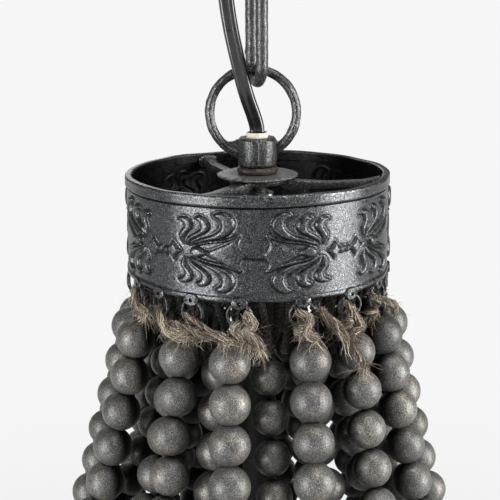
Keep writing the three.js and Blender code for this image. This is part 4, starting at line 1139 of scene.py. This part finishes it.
def add_tow(shape, path, radius, count, rng, tone):
    """Loose bundle of fibres that run along a path, crossing and straying a little."""
    count, steps = int(count), 8
    along = np.linspace(0, 1, len(path))
    _, side, through = frames_along(path)
    reach = np.linalg.norm(np.diff(path, axis=0), axis=1).sum()
    span = np.clip(rng.uniform(5, 15, count) / reach, 0.15, 0.95)
    start = rng.uniform(-0.08, 1.05, count) * (1 - span)
    at = np.clip(start[:, None] + span[:, None] * np.linspace(0, 1, steps), 0, 1)
    centre, side, through = (np.stack([np.interp(at, along, line[:, k]) for k in range(3)], -1)
                             for line in (path, side, through))
    angle = rng.uniform(0, 2 * math.pi, (count, 1)) + at * reach * rng.normal(0.28, 0.16, (count, 1))
    spread = radius * np.sqrt(rng.uniform(0, 1, (count, 1)))
    spread = (spread * (1 + 0.35 * rng.normal(size=(count, steps)).cumsum(1) / 3))[..., None]
    middle = centre + spread * (np.cos(angle)[..., None] * side + np.sin(angle)[..., None] * through)
    thick = rng.uniform(0.05, 0.13, count)
    points = middle[:, :, None] + thick[:, None, None, None] * three_sides(side, through)
    tones = tone - 0.14 + rng.normal(0, 0.16, count) + 0.45 * (rng.uniform(size=count) < 0.26)
    add_threads(shape, points, tones)


def add_threads(shape, points, tones):
    """Three-sided threads from points by thread, step and corner."""
    count, steps = points.shape[:2]
    quad = np.array([[i * 3 + k, i * 3 + (k + 1) % 3, i * 3 + 3 + (k + 1) % 3, i * 3 + 3 + k]
                     for i in range(steps - 1) for k in range(3)])
    tri = np.array([[0, 2, 1], [3 * steps - 3, 3 * steps - 2, 3 * steps - 1]])
    offset = (np.arange(count) * steps * 3)[:, None, None]
    shape.add(points.reshape(-1, 3), (quad + offset).reshape(-1, 4), (tri + offset).reshape(-1, 3), slot=1,
              tone=np.repeat(np.clip(tones, 0, 1), steps * 3), flip=False)


def ring_path(turn, rng):
    """Split ring of two turns of wire, in a plane that is RING_YAW off the radial one."""
    angle = np.linspace(0.2, 4 * math.pi + 0.5, 90) + rng.uniform(0, 6)
    side = np.interp(np.arange(90), [0, 34, 52, 89], [-0.42, -0.4, 0.4, 0.42])
    flat = np.stack([RING_RADIUS * np.cos(angle), side, RING_RADIUS * np.sin(angle)], -1)
    flat = spin(flat, RING_YAW) + (RING_PLACE, 0, STRAND_TOP + RING_RADIUS - 0.8)
    return spin(flat, math.radians(turn - 90))


def wound(radius, height, turns, rng):
    """A few untidy turns of twine about a point."""
    angle = (np.linspace(0, 2 * math.pi * turns, 34) + rng.uniform(0, 6))[:, None]
    tilt = unit(np.array([rng.normal(0, 0.5), rng.normal(0, 0.5), 1]))
    side = unit(np.cross(tilt, [1, 0.2, 0.1]))
    reach = radius * (1 + 0.14 * np.sin(angle * 1.7))
    climb = np.linspace(-height, height, 34)[:, None] / 2
    return reach * np.cos(angle) * side + reach * np.sin(angle) * np.cross(tilt, side) + climb * tilt


def add_leg(shape, ring_turn, leg, rng):
    """One string of beads, with its knots and fibres at both ends."""
    def line(along):
        return tent_points(along, ring_turn, leg)

    knot = INNER_KNOT if leg[2] > 0 else OUTER_KNOT
    count = int((STRAND_LENGTH - knot - TIE_RADIUS) / BEAD_PITCH)
    add_beads(shape, line, knot, count, BEAD_RADIUS * leg[3], rng)
    add_twine(shape, line(np.linspace(-0.5, knot + 3, 14)), 1.0, 0.22, rng)
    foot = line(np.linspace(knot + count * BEAD_PITCH - 3, STRAND_LENGTH, 10))
    add_twine(shape, foot, 1.2, 0.4, rng)
    add_twine(shape, foot[-1] + wound(2.0, 1.7, 2.4, rng), 0.8, 0.45, rng)
    add_fuzz(shape, foot[-4:], 1.6, 26 * ROUGH, 4, rng, 0.5)
    core = line(np.linspace(0.5, knot - 0.3, 12))
    add_tow(shape, core, 1.5, (110 + 8 * knot) * ROUGH, rng, 0.5)
    add_fuzz(shape, core, 1.5, int((24 + 2 * knot) * ROUGH), 4.5, rng, 0.6)


def add_knots(shape, ring_turn, leg, rng):
    """Near-black twine ends behind a ring, painted shade that darkens the inside under the crown, then the
    twine that is wound round the ring.
    """
    for offset in np.linspace(-9, 9, 8):
        turn = np.radians(ring_turn + offset + np.linspace(0, rng.normal(0, 4), 6))
        reach = rng.uniform(49, 54) + np.linspace(1.5, 0, 6)
        height = STRAND_TOP + np.linspace(9.5, -rng.uniform(10, 17), 6)
        # Painted shade: these ends have a tone near nothing, which makes them near black.
        add_twine(shape, hanging(turn, reach, height), 1.5, 0.02, rng)
    hook = tent_points([0.6], ring_turn, leg)[0]
    add_twine(shape, hook + wound(2.1, 2.0, 2.6, rng), 0.7, 0.3, rng)
    add_twine(shape, hook - (0, 0, 3.0) + wound(2.0, 1.6, 2.2, rng), 0.7, 0.25, rng)
    add_tow(shape, hook + wound(2.3, 3.4, 2.2, rng) - (0, 0, 1.5), 1.3, 300 * ROUGH, rng, 0.58)
    add_fuzz(shape, hook - np.linspace(-1, 5, 8)[:, None] * UP, 2.2, 60 * ROUGH, 5.5, rng, 0.66, 0.4)


# Spare twine that shows under the crown: the strand that it is tied to, its thickness, its
# tone and fuzz, then points as (turn in degrees, radius, height below the washer)
ROPES = [
    (2, 2.9, 0.6, 200, [(-47, 58, -50), (-43, 62, -53), (-37, 64.5, -55.5), (-32, 65.5, -57.5),
                        (-28.5, 65, -55)]),
    (2, 2.2, 0.66, 120, [(-45, 60, -55), (-38, 64, -58), (-31, 66, -59.5), (-26, 65, -57)]),
    (3, 2.3, 0.6, 260, [(-34, 64, -53.4), (-28, 65.5, -55.2), (-20.5, 66.5, -56.2), (-13.5, 67, -57.2),
                        (-8, 66, -57.6), (-3.5, 64, -58.4)]),
    (3, 1.6, 0.5, 90, [(-30, 63, -49), (-24, 64, -52), (-18, 65.5, -54.5), (-12, 66, -56)]),
    (4, 2.8, 0.66, 190, [(-5.5, 62, -47.5), (-2, 64.5, -51), (-4.5, 65.5, -54), (-1, 66, -58),
                         (1.5, 66.5, -61.5)]),
    (4, 1.8, 0.6, 90, [(-7, 63, -50), (-9, 65, -54), (-5, 66, -58), (-3, 66, -60)]),
    (5, 2.4, 0.58, 170, [(15, 61, -47), (20, 64, -50), (18.5, 65, -55), (23, 65.5, -59)]),
    (5, 3.2, 0.45, 230, [(24, 62, -47), (28.5, 65, -53), (33, 67.5, -60), (37, 69.5, -67), (40, 71, -73)]),
    (6, 2.3, 0.5, 170, [(38, 60, -46), (40, 64, -51), (42.5, 65.5, -57), (37, 65.5, -59.5)]),
    (7, 2.3, 0.6, 170, [(54, 60, -46.5), (62, 64, -51), (70, 65, -56), (76, 65, -60)]),
    (1, 2.2, 0.62, 160, [(-66, 60, -45.5), (-61, 62.5, -47.5), (-55, 64, -50.5), (-49, 64, -53)]),
]


def add_ropes(number, shape, rng):
    for strand, radius, tone, fuzz, points in ROPES:
        if strand == number:
            turn, reach, height = np.array(points, float).T
            line = smooth_line(hanging(np.radians(turn), reach, SEAT + height), 40)
            line += 0.35 * smooth_line(rng.normal(size=(9, 3)), 40)
            add_tow(shape, line, 0.62 * radius, 3 * fuzz * ROUGH, rng, tone)
            add_twine(shape, line, 0.3 * radius, 0.25, rng, 6.5)
            add_fuzz(shape, line, radius, fuzz // 2 * ROUGH, 4.5, rng, tone + 0.05, 0.5)
            add_fuzz(shape, line[-6:], radius * 0.6, fuzz // 4 * ROUGH, 6, rng, tone + 0.1, 1.2)


def add_strands():
    """Each ring with its legs of beads, its twine and the loose ends tied to it."""
    for number, (ring_turn, legs) in enumerate(STRANDS, 1):
        rng = np.random.default_rng(100 + number)
        shape = Shape().add(*sweep(ring_path(ring_turn, rng), ring_section(RING_WIRE, 8)), slot=2)
        for leg in legs:
            add_leg(shape, ring_turn, leg, rng)
        add_knots(shape, ring_turn, legs[0], rng)
        add_ropes(number, shape, rng)
        add_piece(f"beads_{number:02d}", shape, [BEAD, JUTE, IRON], f"bead_strand_{number:02d}", smooth=60)


# Basket of beads under the hoop
BASKET_TOP = heights("hoop")[0] - 0.3 - TIE_RADIUS * 0.62
BASKET_SAG = 140
BASKET_LOW = 10
BASKET_BEADS = 7
BASKET_SPAN = HOOP_RADIUS - HOOP_WALL / 2 - BASKET_LOW
CUP_EDGE = 46.3 + TIE_RADIUS


def basket_points(along, turn):
    """Points of a basket strand by their lengths along it from the hoop."""
    arc = BASKET_SAG * math.sinh(BASKET_SPAN / BASKET_SAG) - np.asarray(along, float)
    radius = BASKET_LOW + BASKET_SAG * np.arcsinh(arc / BASKET_SAG)
    drop = BASKET_SAG * math.cosh(BASKET_SPAN / BASKET_SAG) - np.hypot(BASKET_SAG, arc)
    return hanging(turn, radius, BASKET_TOP - drop)


def add_basket():
    ends = BASKET_SPAN / BASKET_SAG, (CUP_EDGE - BASKET_LOW) / BASKET_SAG
    length = BASKET_SAG * (math.sinh(ends[0]) - math.sinh(ends[1]))
    slack = (length - BASKET_BEADS * BEAD_PITCH) / 2
    for group in range(5):
        rng = np.random.default_rng(200 + group)
        shape = Shape()
        turns = [math.radians((group + 0.5) * 72 + 24 * i) for i in (-1, 0, 1)]
        for turn in turns:
            add_beads(shape, lambda along: basket_points(along, turn), slack, BASKET_BEADS, BEAD_RADIUS, rng)
            for ends in ((0, slack + 3), (length - slack - 3, length)):
                tie = basket_points(np.linspace(*ends, 8), turn)
                add_twine(shape, tie, 1.2, 0.45, rng)
                add_fuzz(shape, tie, 1.8, 24, 5.5, rng, 0.5, 0.3)
            add_twine(shape, basket_points([0.4], turn)[0] + wound(1.9, 1.0, 2.2, rng), 0.8, 0.5, rng)
        edge = np.array([basket_points([length], turn)[0] for turn in np.linspace(turns[0], turns[2], 30)])
        add_twine(shape, edge, 1.7, 0.45, rng, 6, 3)
        add_fuzz(shape, edge, 1.8, 60, 5, rng, 0.5, 0.3)
        add_piece(f"basket_beads_{group + 1}", shape, [BEAD, JUTE], f"basket_strand_{group + 1}", smooth=60)


def add_cup_and_finial():
    low, high = heights("basket_cup")
    outside = raised([(2.9, 1.6), (2.9, 0), (12, 0), (12.8, 0.5), (30, 0.4), (31, 0), (43.6, 0), (46, 1.8),
                      (45.6, 5)], low)
    profile = rounded([*outside, (46, high - 1), (45.8, high), (44.4, high), (44.2, low + 3),
                       (43, low + 1.6)], 0.6)
    add_turned("cup", "basket_cup", CROWN_IRON, dense(profile, step=3), 144, (0.14, 6, 3.0))

    low, high = heights("finial")
    top = high - 1.6
    curve = smooth_line([*raised([(10, -0.4), (9.3, -2.2), (6, -4.2), (4.8, -6.8), (6.4, -8.6), (5.9, -9.8),
                                  (9.6, -11.8), (12.6, -16), (13, -19), (11.4, -24.4), (8.6, -28), (4.2, -31),
                                  (3.1, -32), (2.6, -33.2)], top), (0, low)], 90)
    curve[:, 0] = np.maximum(curve[:, 0], 0)
    profile = np.vstack([[(0, high), (2.5, high), (2.5, top), (9.8, top)], curve])
    add_turned("finial_drop", "finial", IRON, profile, 84, (0.08, 4, 2.0), smooth=60)


# Stage
FLOOR_Z = -722
BACKDROP = (0.92, 0.92, 0.925)
SKY = (0.95, 0.97, 1.0)
SKY_STRENGTH = 0.05
MIRRORED_STRENGTH = 0.22  # the backdrop as shiny surfaces see it


def add_world():
    """The backdrop as the camera sees it, dimmer in mirrors, and a faint fill light."""
    world = bpy.data.worlds.new("studio")
    bpy.context.scene.world = world
    world.use_nodes = True
    graph = Graph(world.node_tree)
    graph.tree.nodes.clear()
    rays = graph.node("LightPath").outputs
    seen, mirrored, lit = (
        graph.node("Background", {"Color": colour, "Strength": strength}).outputs[0]
        for colour, strength in ((BACKDROP, 1.0), (BACKDROP, MIRRORED_STRENGTH), (SKY, SKY_STRENGTH)))
    through = graph.larger(rays["Is Camera Ray"], rays["Is Transmission Ray"])
    surface = graph.blend(through, graph.blend(rays["Is Glossy Ray"], lit, mirrored), seen)
    graph.node("OutputWorld", {"Surface": surface})


def add_floor():
    """Pale floor that keeps the shadow under the lamp and runs into the backdrop further out."""
    floor = Finish("floor_paper", 0.9, **{"Specular IOR Level": 0.05})
    floor.done(floor.ramp(floor.grain(60, 2), (0.3, 0.58), (0.7, 0.62)))
    rays = floor.node("LightPath").outputs
    seen = floor.larger(rays["Is Camera Ray"], floor.larger(rays["Is Glossy Ray"], rays["Is Transmission Ray"]))
    reach = floor.node("VectorMath", {0: floor.place}, operation="LENGTH").outputs["Value"]
    limits = {"Value": reach, "From Min": 0.7, "From Max": 1.3, "To Min": 0.84, "To Max": 1.0}
    far = floor.node("MapRange", limits, interpolation_type="SMOOTHSTEP").outputs["Result"]
    share = floor.node("Math", {0: far, 1: seen}, operation="MULTIPLY").outputs[0]
    glow = floor.node("Emission", {"Color": BACKDROP, "Strength": 1.0}).outputs[0]
    surface = floor.blend(share, floor.shader.outputs["BSDF"], glow)
    floor.feed(floor.tree.nodes["Material Output"].inputs["Surface"], surface)
    profile = [(0, -20), (6000, -20), (6000, 0), (2500, 0), (1200, 0), (400, 0), (0, 0)]
    mesh_object("floor", Shape().add(*lathe(raised(profile, FLOOR_Z), 96)), [floor.material])


def add_light(name, place, target, size, power, colour=(1, 1, 1)):
    data = bpy.data.lights.new(name, "AREA")
    data.shape = "RECTANGLE"
    data.size, data.size_y = size
    data.energy = power
    data.color = colour
    lamp = bpy.data.objects.new(name, data)
    lamp.location = place
    lamp.rotation_euler = (Vector(target) - Vector(place)).to_track_quat("-Z", "Y").to_euler()
    lamp.visible_camera = False
    bpy.context.scene.collection.objects.link(lamp)


add_camera()
add_cords()
add_ceiling_fitting()
add_chain()
add_hub()
add_crown()
add_spider()
add_column_and_box()
add_hoop()
for lamp_number, lamp_turn in enumerate(ARM_TURNS, 1):
    add_lamp(lamp_number, lamp_turn)
add_strands()
add_basket()
add_cup_and_finial()
add_world()
add_floor()
add_light("right", (1.15, -0.35, -0.2), (0, 0, -0.36), (0.45, 1.1), 27)
add_light("left", (-0.9, -0.8, -0.25), (0, 0, -0.36), (0.4, 1.0), 19, (0.98, 0.99, 1))
add_light("front", (0.45, -1.1, 0.6), (0, 0, -0.3), (0.4, 0.4), 2.5)
add_light("back", (-0.3, 1.25, 0.15), (0, 0, -0.36), (0.5, 0.8), 2)
add_light("top", (0.35, -0.2, 1.0), (0, 0, -0.2), (0.5, 0.5), 9)
bpy.context.scene.view_settings.view_transform = "Standard"
